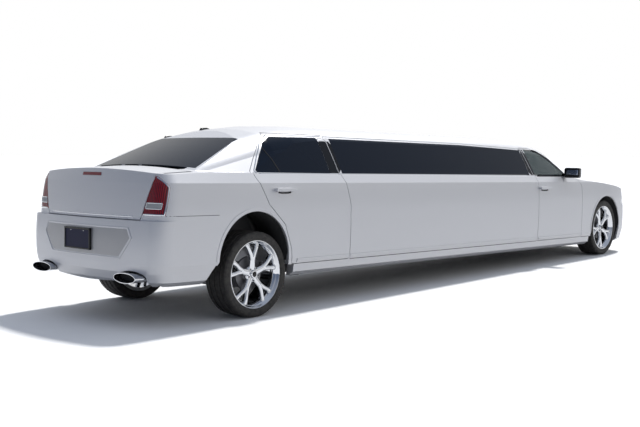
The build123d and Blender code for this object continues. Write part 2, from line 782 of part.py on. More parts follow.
def tyre():
    """One tyre about the Y axis, with its outer face towards -Y."""
    half, seat = TYRE_WIDTH / 2, RIM_WIDTH / 2 - 11
    right = [Line((RIM_R - 13.7, -seat), (RIM_R + 1, -seat)), Line((RIM_R + 1, -seat), (RIM_R + 5, -seat - 9))]
    right += [ThreePointArc((RIM_R + 5, -seat - 9), (RIM_R + 28, -half), (TYRE_R - 12, 12 - half))]
    crown = ThreePointArc((TYRE_R - 12, 12 - half), (TYRE_R, 0), (TYRE_R - 12, half - 12))
    left = [mirror(e, about=Plane.XZ) for e in right]
    base = Line((RIM_R - 13.7, -seat), (RIM_R - 13.7, seat))
    return revolve(make_face(right + [crown, base] + left), Axis.Y)


def rim():
    """One wheel about the Y axis: barrel with two flanges, split spokes, hub and brake disc."""
    half = RIM_WIDTH / 2
    seat, inner = RIM_R - 14, RIM_R - 30
    barrel = [
        (inner, -half + 4), (RIM_R - 6, -half), (RIM_R, -half + 3), (RIM_R, -half + 10), (seat, -half + 10),
        (seat, half - 10), (RIM_R, half - 10), (RIM_R, half), (inner, half),
    ]
    shape = revolve(make_face(Polyline(*barrel, close=True)), Axis.Y)
    bore = SPINDLE_R + SEAT
    hub = [(0, -96), (58, -92), (HUB_R, -80), (HUB_R, -18), (170, -18), (170, 10), (bore, 10), (bore, -71), (0, -71)]
    shape = shape + revolve(make_face(Polyline(*hub, close=True)), Axis.Y)
    for i in range(SPOKES):
        for tilt in (-1, 1):
            blade = [(48, -tilt * 2 - 14), (inner + 2, tilt * 62 - 15), (inner + 2, tilt * 62 + 15), (48, -tilt * 2 + 14)]
            arm = extrude(Plane.XZ.offset(82) * make_face(Polyline(*blade, close=True)), 26)
            shape = shape + Rot(0, i * 360 / SPOKES, 0) * arm
    return shape


def exhaust_side():
    """The right exhaust: riser, long pipe with its flanges, silencer and hanger."""
    y, z = PIPE_Y, PIPE_Z
    start = WHEELBASE - 280
    low = [(start, -y + 150, z), (start - 500, -y, z), (-250, -y, z), (-500, -y - 100, z + 45)]
    pipe = rod(low[0], (start, -y + 150, ENGINE_Z), 25)
    for a, b in zip(low, low[1:]):
        pipe = pipe + rod(a, b, 25)
    for x, joint_y, _ in low[:-1]:
        pipe = pipe + Pos(x, joint_y, z) * Cylinder(31, 58)
    silencer = block(-860, -470, -EXHAUST_Y - 90, -RAIL_Y + 82, z + 26, EXHAUST_Z + TIP_HIGH + 30)
    hanger = rod((-640, -RAIL_Y, EXHAUST_Z), (-640, -RAIL_Y, TRUNK_FLOOR - 90), 10)
    return pipe + silencer + hanger


def tip_prism(start, length, grow):
    """An oval bar on the right tip's axis, from a distance ahead of the tip's mouth backwards."""
    plane = Plane(origin=(start, -EXHAUST_Y, EXHAUST_Z), x_dir=(0, 1, 0), z_dir=(-1, 0, 0))
    return extrude(plane * Ellipse(TIP_HALF + grow, TIP_HIGH + grow), length)


def exhaust_tip():
    """The right oval tip, from the silencer to just behind the bumper."""
    return tip_prism(-860, REAR_OVERHANG + 14 - 860, 0) - tip_prism(-900, 400, -5)


def jack_pad(x):
    """A jacking pad under the right half of the floor, beside the rocker."""
    y0, y1 = -PAD_Y - PAD_WIDE / 2, -PAD_Y + PAD_WIDE / 2
    return block(x - PAD_LONG / 2, x + PAD_LONG / 2, y0, y1, SILL_Z - PAD_DEEP, FLOOR_Z - FLOOR_THICK + 1)


def tow_boss(radius):
    """A bar on the axis of the towing eye's hole, as long as the bumper's wall there."""
    return rod((TOW_MOUTH_X - TOW_LENGTH, TOW_Y, TOW_Z), (TOW_MOUTH_X, TOW_Y, TOW_Z), radius)


def tip_hole():
    """The clearance round one exhaust tip in the rear bumper, open below, on the right side."""
    below = block(-1300, -900, -EXHAUST_Y - TIP_HALF - 12, -EXHAUST_Y + TIP_HALF + 12, 60, EXHAUST_Z)
    return tip_prism(-900, 400, 12) + below


def fuel_tank():
    return block(-930, -140, -RAIL_Y + 90, RAIL_Y - 90, 215, TRUNK_FLOOR - 40)


def door_mirror():
    """The right door mirror: a pod on a short arm at the front of the door glass."""
    x, y, z = FRONT_DOOR_FRONT - 430, HALF_WIDTH + 60, 1118
    pod = Pos(x + 20, -y, z) * Rot(0, 0, 8) * Box(100, 200, 128)
    pod = fillet(pod.edges(), 26)
    arm = block(x - 5, x + 75, -y + 60, -870, BELT_Z - 12, BELT_Z + 30)
    return pod + arm


def door_pins(axis_x, z):
    """A door's hinge barrel in two halves: the upper for the door, the lower for the body."""
    y = -HALF_WIDTH - HINGE_RISE
    reach = GAP / 2 + 3
    upper = rod((axis_x, y, z + SEAT), (axis_x, y, z + HINGE_LENGTH), HINGE_R)
    lower = rod((axis_x, y, z - HINGE_LENGTH), (axis_x, y, z), HINGE_R)
    upper = upper + block(axis_x - reach, axis_x, y - 1, y + 4, z + SEAT, z + HINGE_LENGTH)
    lower = lower + block(axis_x, axis_x + reach, y - 1, y + 4, z - HINGE_LENGTH, z)
    return upper, lower


def cross_pin(x, y0, y1, z, way):
    """Half a hinge barrel across the car, with a leaf bent down into the panel behind or ahead."""
    near, far = sorted((x, x + way * 25))
    foot0, foot1 = sorted((x + way * 12, x + way * 25))
    leaf = block(near, far, y0, y1, z - HINGE_R, z - HINGE_R + HINGE_LEAF)
    foot = block(foot0, foot1, y0, y1, z - 16, z - HINGE_R + HINGE_LEAF)
    return rod((x, y0, z), (x, y1, z), HINGE_R) + leaf + foot


def cross_pins(x, y, z, way):
    """The two halves of both barrels of a lid; way is the moving side's direction."""
    moving = Part() + [cross_pin(x, side, side + HINGE_LENGTH / 2 - SEAT, z, way) for side in (y - 10, -y)]
    fixed = Part() + [cross_pin(x, side, side + HINGE_LENGTH / 2, z, -way) for side in (y, -y - 10)]
    return moving, fixed


PLACE = Pos(0, 0, TAIL_LIFT) * Rot(0, degrees(RAKE), 0)
LAMP_VOLUME = 1e5
DOOR_FACES = {
    "rear": (rear_door_face(), rear_door_window()),
    "front": (front_door_face(), front_door_window()),
}


def split_ends(both, nodes):
    """Bumpers, grille and lamps out of the shell; what is left comes back."""
    bumper = both & rear_bumper_zone()
    both = both - rear_bumper_zone()
    nodes["rear_bumper"] = largest(bumper - tip_hole() - mirrored(tip_hole()))
    nodes["grille"] = grille(both)
    both = both - grille_zone()
    bumper = largest(both & front_bumper_zone())
    nodes["front_bumper"] = bumper + tow_boss(TOW_R + 8) - tow_boss(TOW_R)
    both = both - front_bumper_zone()
    for name, zone in (("headlamps", headlamp_zone()), ("tail_lamps", tail_lamp_zone())):
        lamps = both & zone
        nodes[name] = Compound(children=[s for s in lamps.solids() if s.volume > LAMP_VOLUME])
        both = both - zone
    return both


def split_middle(both, nodes, bonnet_pin, lid_pin):
    """Roof, windshield frame and bulkheads out of the shell; what is left comes back."""
    wb = WHEELBASE
    shelf_zone = block(-700, 440, -600, 600, TRUNK_FLOOR + 1, 1200)
    shelf = largest(both & shelf_zone) + lid_pin
    both = both - shelf_zone
    nodes["roof"] = largest(both & roof_cut())
    both = both - roof_cut()
    frame_zone = block(wb - 1800, wb - 500, -1000, 1000, 1066, 1398)
    frame_zone = frame_zone + block(wb - 1000, wb - 500, -780, 780, 1040, 1100)
    door_prism = side_prism(front_door_face(), -1100, -600)
    frame = largest((both & frame_zone) - door_prism - mirrored(door_prism))
    nodes["windshield_frame"] = frame + bonnet_pin
    both = both - frame_zone
    bulkhead_zone = block(wb - 1020, wb - 500, -590, 590, 0, 1040)
    nodes["bulkheads"] = Compound(children=[largest(both & bulkhead_zone), largest(shelf)])
    return both - bulkhead_zone


def hang_door(half, upper, nodes, name, edge, handle):
    """One right-hand door with its glass and hinge pins; the body side's half comes back."""
    face, window = DOOR_FACES[name]
    panel = door_panel(half, face, window)
    half = half - side_prism(face, -1100, -300)
    for z in (500, 690):
        door_pin, body_pin = door_pins(edge - GAP / 2, z)
        panel = panel + door_pin
        half = half + body_pin
    nodes["door_" + name + "_right"] = largest(panel + door_handle(*handle))
    nodes["glass_" + name + "_right"] = side_glass(upper, window)
    return half


def split_sides(half, upper, nodes):
    """The right side's outer panels, each with its mirror image."""
    rocker = half & block(440, WHEELBASE - 480, -1000, -ROCKER_Y, 0, ROCKER_TOP)
    nodes["rockers"] = pair(largest(rocker))
    side = half & block(REAR_DOOR_FRONT - 100, FRONT_DOOR_REAR + 60, -1000, -500, ROCKER_TOP, CANT_Z)
    nodes["side_panels"] = pair(largest(side - side_prism(long_window(), -1100, -300)))
    quarter = half & block(-REAR_OVERHANG - 50, 460, -1000, 0, ROCKER_TOP, 1400)
    nodes["quarter_panels"] = pair(largest(quarter))
    fender = half & block(FRONT_DOOR_FRONT - 500, WHEELBASE + 1000, -1000, 0, ROCKER_TOP, 1066)
    nodes["fenders"] = pair(largest(fender))


def build(upper, hollow):
    """Every node of the body, on the level body."""
    nodes = {}
    lower = lower_body()
    shell = body_shell(lower + upper, hollow)
    lid_pins = cross_pins(LID_FRONT + GAP / 2, LID_HINGE_Y, LID_AXIS_Z, -1)
    bonnet_pins = cross_pins(BONNET_AXIS_X, BONNET_HINGE_Y, BONNET_AXIS_Z, 1)
    nodes["trunk_lid"] = largest(sheet(lower, lid_zone(0), LID_WALL)) + lid_pins[0]
    nodes["bonnet"] = largest(sheet(lower, bonnet_zone(0), (0, 0, -SKIN))) + bonnet_pins[0]
    both = shell - lid_zone(GAP) - bonnet_zone(GAP) - windshield_zone() - backlight_zone()
    nodes["windshield"] = largest(sheet(upper, windshield_zone(), (-GLASS / 2, 0, -GLASS)))
    backlight = largest(sheet(upper, backlight_zone(), (GLASS / 2, 0, -GLASS)))
    long_panes = pair(long_pane(upper))
    nodes["cabin_glass"] = Compound(children=[backlight] + list(long_panes.solids()))
    both = split_ends(both, nodes)
    both = split_middle(both, nodes, bonnet_pins[1], lid_pins[1])
    half = both & block(-2000, WHEELBASE + 2000, -1100, 0, 0, 2000)
    half = hang_door(half, upper, nodes, "rear", REAR_DOOR_FRONT, REAR_HANDLE)
    half = hang_door(half, upper, nodes, "front", FRONT_DOOR_FRONT, FRONT_HANDLE)
    split_sides(half, upper, nodes)
    return nodes


def furnish(nodes, hollow):
    """The pieces inside and under the body."""
    hump = tunnel(0)
    nodes["floor"] = floor()
    nodes["trunk_floor"] = trunk_floor()
    nodes["tunnel"] = hump - tunnel(TUNNEL_WALL)
    nodes["partition"] = partition(hollow) - hump
    nodes["bar_counter"] = bar_counter()
    nodes["front_seats"] = front_seats()
    seats = lounge_seats()
    nodes["lounge_seats"] = Compound(children=list((seats - hump).solids()))
    nodes["dashboard"] = dashboard()
    nodes["steering_wheel"] = steering_wheel()
    nodes["engine"] = engine() + gearbox()
    nodes["rear_axle"] = rear_axle()
    nodes["front_subframe"] = front_subframe() + front_rails()
    nodes["exhaust"] = pair(exhaust_side())
    nodes["exhaust_tips"] = pair(exhaust_tip())
    nodes["fuel_tank"] = fuel_tank()


def running_gear(nodes):
    """Uprights, tyres and rims, each wheel at its own hub."""
    nodes["knuckle_right"] = knuckle()
    nodes["knuckle_left"] = mirrored(knuckle())
    tyre_solid, rim_solid = tyre(), rim()
    for end, x, z in (("rear", REAR_X, REAR_Z), ("front", FRONT_ARCH_X, FRONT_ARCH_Z)):
        for name, solid in (("tyre", tyre_solid), ("rim", rim_solid)):
            right = Pos(x, -WHEEL_Y, z) * solid
            nodes[name + "_" + end + "_right"] = right
            nodes[name + "_" + end + "_left"] = mirrored(right)


def save(name, shape):
    """One node's solids, put where the car stands."""
    shape.label = name
    export_step(shape, os.path.join("parts", name + ".step"))


glass_house = glasshouse()
cabin_hollow = cabin_space(glass_house)
nodes = build(glass_house, cabin_hollow)
for name in ("door_rear", "glass_rear", "door_front", "glass_front"):
    nodes[name + "_left"] = mirrored(nodes[name + "_right"])
nodes["mirror_right"] = largest(door_mirror() - nodes["door_front_right"])
nodes["mirror_left"] = mirrored(nodes["mirror_right"])
furnish(nodes, cabin_hollow)
running_gear(nodes)
stood = {name: PLACE * shape for name, shape in nodes.items()}
boxes = [shape.bounding_box() for shape in stood.values()]
CENTRE_X = (min(b.min.X for b in boxes) + max(b.max.X for b in boxes)) / 2
for name, shape in stood.items():
    save(name, Pos(-CENTRE_X, 0, 0) * Compound(shape.solids()))
print("centre", CENTRE_X)
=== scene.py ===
import json
import random
from functools import cache
from itertools import product
from math import cos, hypot, pi, radians, sin

import bmesh
import bpy
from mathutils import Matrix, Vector
from mathutils.bvhtree import BVHTree
from mathutils.geometry import delaunay_2d_cdt


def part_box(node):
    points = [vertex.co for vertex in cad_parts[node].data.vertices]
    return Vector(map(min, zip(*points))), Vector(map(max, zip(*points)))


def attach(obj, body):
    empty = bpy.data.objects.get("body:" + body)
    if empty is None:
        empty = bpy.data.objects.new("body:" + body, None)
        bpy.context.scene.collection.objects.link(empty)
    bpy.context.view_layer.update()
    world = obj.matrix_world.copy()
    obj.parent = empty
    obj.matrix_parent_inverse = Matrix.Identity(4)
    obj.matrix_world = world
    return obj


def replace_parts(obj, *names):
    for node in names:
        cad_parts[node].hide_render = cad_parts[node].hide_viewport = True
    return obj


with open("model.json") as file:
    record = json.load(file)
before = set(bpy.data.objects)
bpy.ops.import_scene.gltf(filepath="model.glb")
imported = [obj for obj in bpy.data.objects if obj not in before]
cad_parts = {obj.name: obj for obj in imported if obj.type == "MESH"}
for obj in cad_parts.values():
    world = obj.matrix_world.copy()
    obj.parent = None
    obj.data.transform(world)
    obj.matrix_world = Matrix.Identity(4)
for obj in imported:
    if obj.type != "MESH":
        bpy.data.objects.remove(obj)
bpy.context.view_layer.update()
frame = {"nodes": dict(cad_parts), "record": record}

# The named sizes repeat those of the part, in millimetres on its level body.
WHEELBASE = 6608.0
CENTRE_X = 3173.806
RAKE = 0.024
TAIL_LIFT = 149.0
TYRE_R = 370.0
WHEEL_Y = 788.5
FLOOR_Z = 255.0
# Shut lines of the front doors, and the inner face of the side walls
FRONT_EDGE = WHEELBASE - 723.0
FRONT_REAR = WHEELBASE - 1870.0
INNER = 846.0

C, S = cos(RAKE), sin(RAKE)
NODES = frame["nodes"]
SIDES = ((-1, "right"), (1, "left"))
random.seed(7)


def P(x, y, z):
    """A point of the level body in the frame, in metres."""
    return Vector((C * x + S * z - CENTRE_X, y, -S * x + C * z + TAIL_LIFT)) / 1000


def level_x(x, z):
    """The level body's x of a frame x in metres, at a level height."""
    return (x * 1000 + CENTRE_X - S * z) / C


UP = Vector((S, 0, C))
AHEAD = Vector((C, 0, -S))
LEFT = Vector((0, 1, 0))


def added(name, data):
    """A new object in the scene."""
    obj = bpy.data.objects.new(name, data)
    bpy.context.scene.collection.objects.link(obj)
    return obj


# Camera, fitted to the photograph, its place in metres from the rear axle
CAMERA_PLACE = (-5.727, -6.754, 1.439)
CAMERA_YAW, CAMERA_PITCH = 0.729, -0.067
SENSOR = 36.0
FOCAL_PIXELS, PHOTO_WIDTH = 964.461, 640.0


def add_camera():
    data = bpy.data.cameras.new("camera")
    cam = added("camera", data)
    level, drop = cos(CAMERA_PITCH), sin(CAMERA_PITCH)
    look = Vector((level * cos(CAMERA_YAW), level * sin(CAMERA_YAW), drop))
    x, y, z = CAMERA_PLACE
    cam.location = Vector((x - CENTRE_X / 1000, y, z))
    cam.rotation_euler = look.to_track_quat("-Z", "Y").to_euler()
    data.sensor_width = SENSOR
    data.lens = SENSOR * FOCAL_PIXELS / PHOTO_WIDTH
    data.clip_end = 400.0
    bpy.context.scene.camera = cam


add_camera()


# Materials: a variant stands for a slot of the record, the others have their slot's name
VARIANTS = {
    "shaded_paint": "silver_paint",
    "reflector": "bright_chrome",
    "wing_liner": "black_plastic",
    "carpet": "black_plastic",
    "post_black": "gloss_black",
    "plate_blue": "gloss_black",
    "grey_lens": "clear_lens",
}
SLOT_OF, MAIN = {}, {}


def material(name, color, rough, metallic=0.0, **more):
    """A principled material; more holds further sockets by name."""
    mat = bpy.data.materials.new(name)
    mat.use_nodes = True
    shader = mat.node_tree.nodes["Principled BSDF"]
    shader.inputs["Base Color"].default_value = (*color, 1.0)
    shader.inputs["Roughness"].default_value = rough
    shader.inputs["Metallic"].default_value = metallic
    for key, value in more.items():
        shader.inputs[key.replace("_", " ")].default_value = value
    SLOT_OF[mat.name] = VARIANTS.get(name, name)
    if name not in VARIANTS:
        MAIN[name] = mat
    return mat


def new_node(net, kind, *ordered, **named):
    """A new shader node; inputs are values or the outputs that feed them."""
    made = net.nodes.new("ShaderNode" + kind)
    inputs = list(enumerate(ordered)) + [(key.replace("_", " "), value) for key, value in named.items()]
    for key, value in inputs:
        if isinstance(value, bpy.types.NodeSocket):
            net.links.new(value, made.inputs[key])
        else:
            made.inputs[key].default_value = value
    return made


def new_ramp(net, source, first, last):
    """A colour ramp between two stops (position, colour)."""
    made = new_node(net, "ValToRGB", source)
    for index, (position, color) in enumerate((first, last)):
        made.color_ramp.elements[index].position = position
        made.color_ramp.elements[index].color = (*color, 1)
    return made


def feed(mat, output, socket):
    """Links an output to a socket of the material's shader."""
    mat.node_tree.links.new(output, mat.node_tree.nodes["Principled BSDF"].inputs[socket])


def noise(mat, scale, detail=3.0, rough=0.5, stretch=(1, 1, 1)):
    """A noise texture in object coordinates."""
    net = mat.node_tree
    coord = new_node(net, "TexCoord").outputs["Object"]
    mapping = new_node(net, "Mapping", coord, Scale=stretch)
    return new_node(net, "TexNoise", mapping.outputs["Vector"], Scale=scale, Detail=detail, Roughness=rough)


def vary_color(mat, tex, dark, light, low=0.35, high=0.65):
    """Base colour between two colours by a texture."""
    ramp = new_ramp(mat.node_tree, tex.outputs[0], (low, dark), (high, light))
    feed(mat, ramp.outputs["Color"], "Base Color")


def vary_rough(mat, tex, low, high):
    """Roughness between two values by a texture."""
    span = new_node(mat.node_tree, "MapRange", tex.outputs[0], To_Min=low, To_Max=high)
    feed(mat, span.outputs[0], "Roughness")


def bump(mat, tex, strength, distance):
    """Relief by a texture, at a distance in metres."""
    node = new_node(mat.node_tree, "Bump", Strength=strength, Distance=distance, Height=tex.outputs[0])
    feed(mat, node.outputs["Normal"], "Normal")


def paint(name, color, dark):
    """Metallic paint: fine flakes under a clear coat."""
    mat = material(name, color, 0.4, 0.4, Coat_Weight=0.2, Coat_Roughness=0.2)
    vary_color(mat, noise(mat, 900.0, 1.0), dark, color)
    vary_rough(mat, noise(mat, 3.0, 2.0), 0.38, 0.46)
    return mat


def leather(name, dark, light):
    """Leather with a cellular grain."""
    mat = material(name, light, 0.5, Sheen_Weight=0.1)
    vary_color(mat, noise(mat, 14.0, 5.0), dark, light)
    coord = new_node(mat.node_tree, "TexCoord").outputs["Object"]
    bump(mat, new_node(mat.node_tree, "TexVoronoi", coord, Scale=260.0), 0.35, 0.0015)
    return mat


def grained(name, color, dark, rough, scale, level=0.5, metallic=0.0):
    """Moulded or cast material with a fine grain."""
    mat = material(name, color, rough, metallic, Specular_IOR_Level=level)
    vary_color(mat, noise(mat, scale / 40, 4.0), dark, color)
    bump(mat, noise(mat, scale, 3.0), 0.25, 0.001)
    return mat


def tinted(name, color, alpha, rough=0.03, level=0.15):
    """A tinted pane or lens."""
    mat = material(name, color, rough, Alpha=alpha, Specular_IOR_Level=level)
    vary_rough(mat, noise(mat, 5.0, 2.0), rough, rough + 0.03)
    mat.surface_render_method = "BLENDED"
    return mat


def tread_rubber(name):
    """Dusty tyre rubber."""
    mat = material(name, (0.022, 0.021, 0.02), 0.75)
    vary_color(mat, noise(mat, 30.0, 5.0), (0.016, 0.015, 0.015), (0.045, 0.042, 0.038))
    bump(mat, noise(mat, 220.0, 3.0), 0.4, 0.001)
    return mat


def chrome(name):
    """Bright plated metal with faint smears."""
    mat = material(name, (0.62, 0.63, 0.65), 0.06, 1.0)
    vary_rough(mat, noise(mat, 12.0, 4.0), 0.04, 0.12)
    return mat


def lens_red(name):
    """Deep red lens with upright ribs inside."""
    mat = material(name, (0.2, 0.004, 0.01), 0.15, Coat_Weight=0.4, Coat_Roughness=0.05)
    coord = new_node(mat.node_tree, "TexCoord").outputs["Object"]
    wave = new_node(mat.node_tree, "TexWave", coord, Scale=22.0, Distortion=0.6)
    wave.bands_direction = "Y"
    vary_color(mat, wave, (0.05, 0.001, 0.004), (0.42, 0.006, 0.014), 0.0, 1.0)
    return mat


def veneer(name):
    """Lacquered wood with long grain along the car."""
    mat = material(name, (0.2, 0.1, 0.05), 0.25, Coat_Weight=0.7)
    grain = noise(mat, 3.0, 8.0, 0.6, (1, 12, 12))
    vary_color(mat, grain, (0.07, 0.03, 0.015), (0.28, 0.14, 0.07))
    return mat


def carpet(name):
    """Short dark pile."""
    mat = material(name, (0.05, 0.05, 0.055), 0.95, Sheen_Weight=0.3)
    vary_color(mat, noise(mat, 250.0, 2.0), (0.02, 0.02, 0.024), (0.09, 0.09, 0.1))
    bump(mat, noise(mat, 500.0, 2.0), 0.8, 0.004)
    return mat


SILVER = paint("silver_paint", (0.68, 0.685, 0.71), (0.58, 0.585, 0.61))
# shaded_paint is a darker copy of the silver paint, used only as painted shade in the rear bumper's recess
SHADED = paint("shaded_paint", (0.44, 0.44, 0.45), (0.36, 0.36, 0.37))
CHROME = chrome("bright_chrome")
REFLECTOR = chrome("reflector")
RUBBER = tread_rubber("tyre_rubber")
CAST = grained("cast_grey", (0.22, 0.22, 0.23), (0.12, 0.12, 0.13), 0.55, 200.0, metallic=0.8)
PLASTIC = grained("black_plastic", (0.03, 0.03, 0.032), (0.018, 0.018, 0.02), 0.6, 500.0)
LINER = grained("wing_liner", (0.012, 0.012, 0.013), (0.006, 0.006, 0.007), 0.9, 90.0)
BLACK = grained("gloss_black", (0.01, 0.01, 0.011), (0.006, 0.006, 0.007), 0.2, 40.0, 0.25)
POST = grained("post_black", (0.008, 0.01, 0.015), (0.006, 0.008, 0.012), 0.25, 40.0, 0.08)
BLUE = grained("plate_blue", (0.006, 0.009, 0.055), (0.004, 0.006, 0.04), 0.4, 60.0, 0.15)
RED_LENS = lens_red("red_lens")
CLEAR_LENS = tinted("clear_lens", (0.8, 0.83, 0.86), 0.35)
GREY_LENS = tinted("grey_lens", (0.55, 0.56, 0.57), 0.9, 0.12)
LEATHER = leather("dark_leather", (0.025, 0.023, 0.023), (0.06, 0.055, 0.052))
VENEER = veneer("wood_veneer")
CARPET = carpet("carpet")
# Materials that only CAD nodes wear
grained("black_steel", (0.035, 0.035, 0.038), (0.02, 0.02, 0.022), 0.5, 120.0)
tinted("privacy_glass", (0.008, 0.013, 0.024), 0.97, 0.1, 0.06)
tinted("green_glass", (0.03, 0.06, 0.065), 0.6, 0.06)


def placed(obj, mat, body):
    """Gives a piece its material and its body."""
    obj.data.materials.append(mat)
    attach(obj, body)


def dress_nodes():
    """Every carried-over CAD node gets its slot's material."""
    for row in frame["record"]["subparts"]:
        node = NODES[row["node"]]
        node.data.materials.clear()
        node.data.materials.append(MAIN[row["material_slot"]])


dress_nodes()


# Mesh tools
def new_piece(name, verts, faces, mat, body="root", smooth=True, sharp=35.0):
    """A mesh piece that rides on a body."""
    mesh = bpy.data.meshes.new(name)
    mesh.from_pydata([tuple(v) for v in verts], [], faces)
    mesh.validate()
    work = bmesh.new()
    work.from_mesh(mesh)
    bmesh.ops.recalc_face_normals(work, faces=work.faces)
    work.to_mesh(mesh)
    work.free()
    if smooth:
        mesh.shade_smooth()
        mesh.set_sharp_from_angle(angle=radians(sharp))
    piece = added(name, mesh)
    placed(piece, mat, body)
    return piece


def skin(rows, k, ring=False, wrap=False, start=0):
    """Faces between rows of k points; ring closes the rows, wrap joins the last to the first."""
    faces = []
    for i in range(rows if wrap else rows - 1):
        a, b = start + i * k, start + (i + 1) % rows * k
        faces += [(a + j, a + (j + 1) % k, b + (j + 1) % k, b + j) for j in range(k if ring else k - 1)]
    return faces


def caps(count, k, start=0):
    """End faces of a loft: the first and the last row of k points."""
    return [tuple(range(start, start + k)), tuple(range(count - k, count))]


def bevelled(piece, width, segments):
    """The piece with its edges bevelled by a width in metres."""
    mod = piece.modifiers.new("bevel", "BEVEL")
    mod.width = width
    mod.segments = segments
    mod.limit_method = "ANGLE"
    mod.angle_limit = radians(35)
    return piece


@cache
def tree(*names):
    """A search tree over some CAD nodes."""
    verts, faces = [], []
    for name in names:
        mesh = NODES[name].data
        start = len(verts)
        verts += [v.co.copy() for v in mesh.vertices]
        faces += [tuple(start + i for i in poly.vertices) for poly in mesh.polygons]
    return BVHTree.FromPolygons(verts, faces)


def project(names, u, v, way):
    """The surface point and outward normal that a ray from one way meets."""
    start, ray = {
        "right": (P(u, -1400, v), LEFT),
        "left": (P(u, 1400, v), Vector((0, -1, 0))),
        "rear": (P(-1500, u, v), AHEAD),
        "front": (P(WHEELBASE + 1300, u, v), -AHEAD),
        "top": (P(u, v, 2200), -UP),
    }[way]
    hit, normal, _, _ = tree(*names).ray_cast(start, ray)
    if hit is None:
        return None, None
    if normal.dot(ray) > 0:
        normal = -normal
    return hit, normal


def sampled(path, step, closed):
    """Points along a polyline, no further apart than a step."""
    points = list(path) + ([path[0]] if closed else [])
    out = []
    for (a, b), (c, d) in zip(points, points[1:]):
        count = max(1, int(hypot(c - a, d - b) / step))
        out += [(a + (c - a) * i / count, b + (d - b) * i / count) for i in range(count)]
    if not closed:
        out.append(points[-1])
    return out


# A ribbon's section: shares of its half width and of its height
RIBBON_SHAPE = ((-0.92, 0.75), (-0.5, 1), (0.5, 1), (0.92, 0.75))
RIBBON_FOOT = -0.0015


def ribbon(name, path, width, height, names, way, mat, body="root", step=25.0, closed=False):
    """A strip laid on the CAD surface along a path, in millimetres, with rounded shoulders."""
    rows = []
    for u, v in sampled(path, step, closed):
        hit, normal = project(names, u, v, way)
        if hit is not None:
            rows.append((hit, normal))
    half, up = width / 2000, height / 1000
    section = [(half * a, up * b) for a, b in RIBBON_SHAPE]
    section = [(-half, RIBBON_FOOT)] + section + [(half, RIBBON_FOOT)]
    verts, n, k = [], len(rows), len(section)
    for i, (hit, normal) in enumerate(rows):
        ahead = rows[(i + 1) % n][0] if closed or i + 1 < n else hit
        behind = rows[i - 1][0] if closed or i else hit
        tangent = (ahead - behind).normalized()
        across = normal.cross(tangent).normalized()
        verts += [hit + across * a + normal * b for a, b in section]
    faces = skin(n, k, ring=True, wrap=closed)
    if not closed:
        faces += caps(n * k, k)
    return new_piece(name, verts, faces, mat, body)


def inside(x, y, outline):
    """Whether a point lies inside an outline."""
    odd = False
    for (a, b), (c, d) in zip(outline, outline[1:] + outline[:1]):
        if (b > y) != (d > y) and x < (c - a) * (y - b) / (d - b) + a:
            odd = not odd
    return odd


def plate_points(edge, step):
    """The points of an edge and of a grid inside it."""
    us, vs = [p[0] for p in edge], [p[1] for p in edge]
    wide, tall = max(us) - min(us), max(vs) - min(vs)
    nu, nv = int(wide / step), int(tall / step)
    points = [Vector(p) for p in edge]
    for i in range(1, nu + 1):
        for j in range(1, nv + 1):
            u, v = min(us) + i * wide / (nu + 1), min(vs) + j * tall / (nv + 1)
            if inside(u, v, edge) and min(hypot(u - a, v - b) for a, b in edge) > step * 0.45:
                points.append(Vector((u, v)))
    return points


# How far towards its middle a plate looks for the surface, try by try
INWARD = (0, 0.02, 0.05, 0.1, 0.2, 0.35)
PLATE_SINK = 2.0


def patch(name, outline, names, way, mat, lift=1.0, step=30.0, body="root"):
    """A closed plate on the CAD surface inside an outline, in millimetres."""
    edge = sampled(outline, step, True)
    count = len(edge)
    loop = [(i, (i + 1) % count) for i in range(count)]
    flat, _, tris = delaunay_2d_cdt(plate_points(edge, step), loop, [list(range(count))], 1, 1e-6)[:3]
    middle = [sum(p[axis] for p in edge) / count for axis in (0, 1)]
    top, low = [], []
    for p in flat:
        for share in INWARD:
            u, v = (p[axis] + (middle[axis] - p[axis]) * share for axis in (0, 1))
            hit, normal = project(names, u, v, way)
            if hit is not None:
                break
        if hit is None:
            return None
        top.append(hit + normal * lift / 1000)
        low.append(hit - normal * PLATE_SINK / 1000)
    n = len(flat)
    faces = [tuple(t) for t in tris] + [tuple(n + i for i in reversed(t)) for t in tris]
    sides = {(a, b): True for t in tris for a, b in zip(t, list(t[1:]) + [t[0]])}
    faces += [(b, a, n + a, n + b) for a, b in sides if (b, a) not in sides]
    return new_piece(name, top + low, faces, mat, body, sharp=50)


def revolved(profile, turns, centre):
    """Verts and faces of a profile (radius, y) turned about the Y axis."""
    verts = []
    for i in range(turns):
        a = 2 * pi * i / turns
        verts += [centre + polar(r, a, y) / 1000 for r, y in profile]
    return verts, skin(turns, len(profile), wrap=True)


def polar(r, a, y=0.0):
    """A point at a radius and an angle about the Y axis."""
    return Vector((r * cos(a), y, r * sin(a)))


def turned(name, profile, turns, centre, axis, mat, body="root"):
    """A profile (radius, depth) turned about an axis through a centre."""
    side = axis.cross(UP if abs(axis.dot(UP)) < 0.9 else AHEAD).normalized()
    over = side.cross(axis)
    verts = []
    for i in range(turns):
        a = 2 * pi * i / turns
        verts += [centre + (axis * d + (side * cos(a) + over * sin(a)) * r) / 1000 for r, d in profile]
    return new_piece(name, verts, skin(turns, len(profile), wrap=True), mat, body)


BOX_FACES = [(0, 1, 3, 2), (4, 6, 7, 5), (0, 4, 5, 1), (2, 3, 7, 6), (0, 2, 6, 4), (1, 5, 7, 3)]


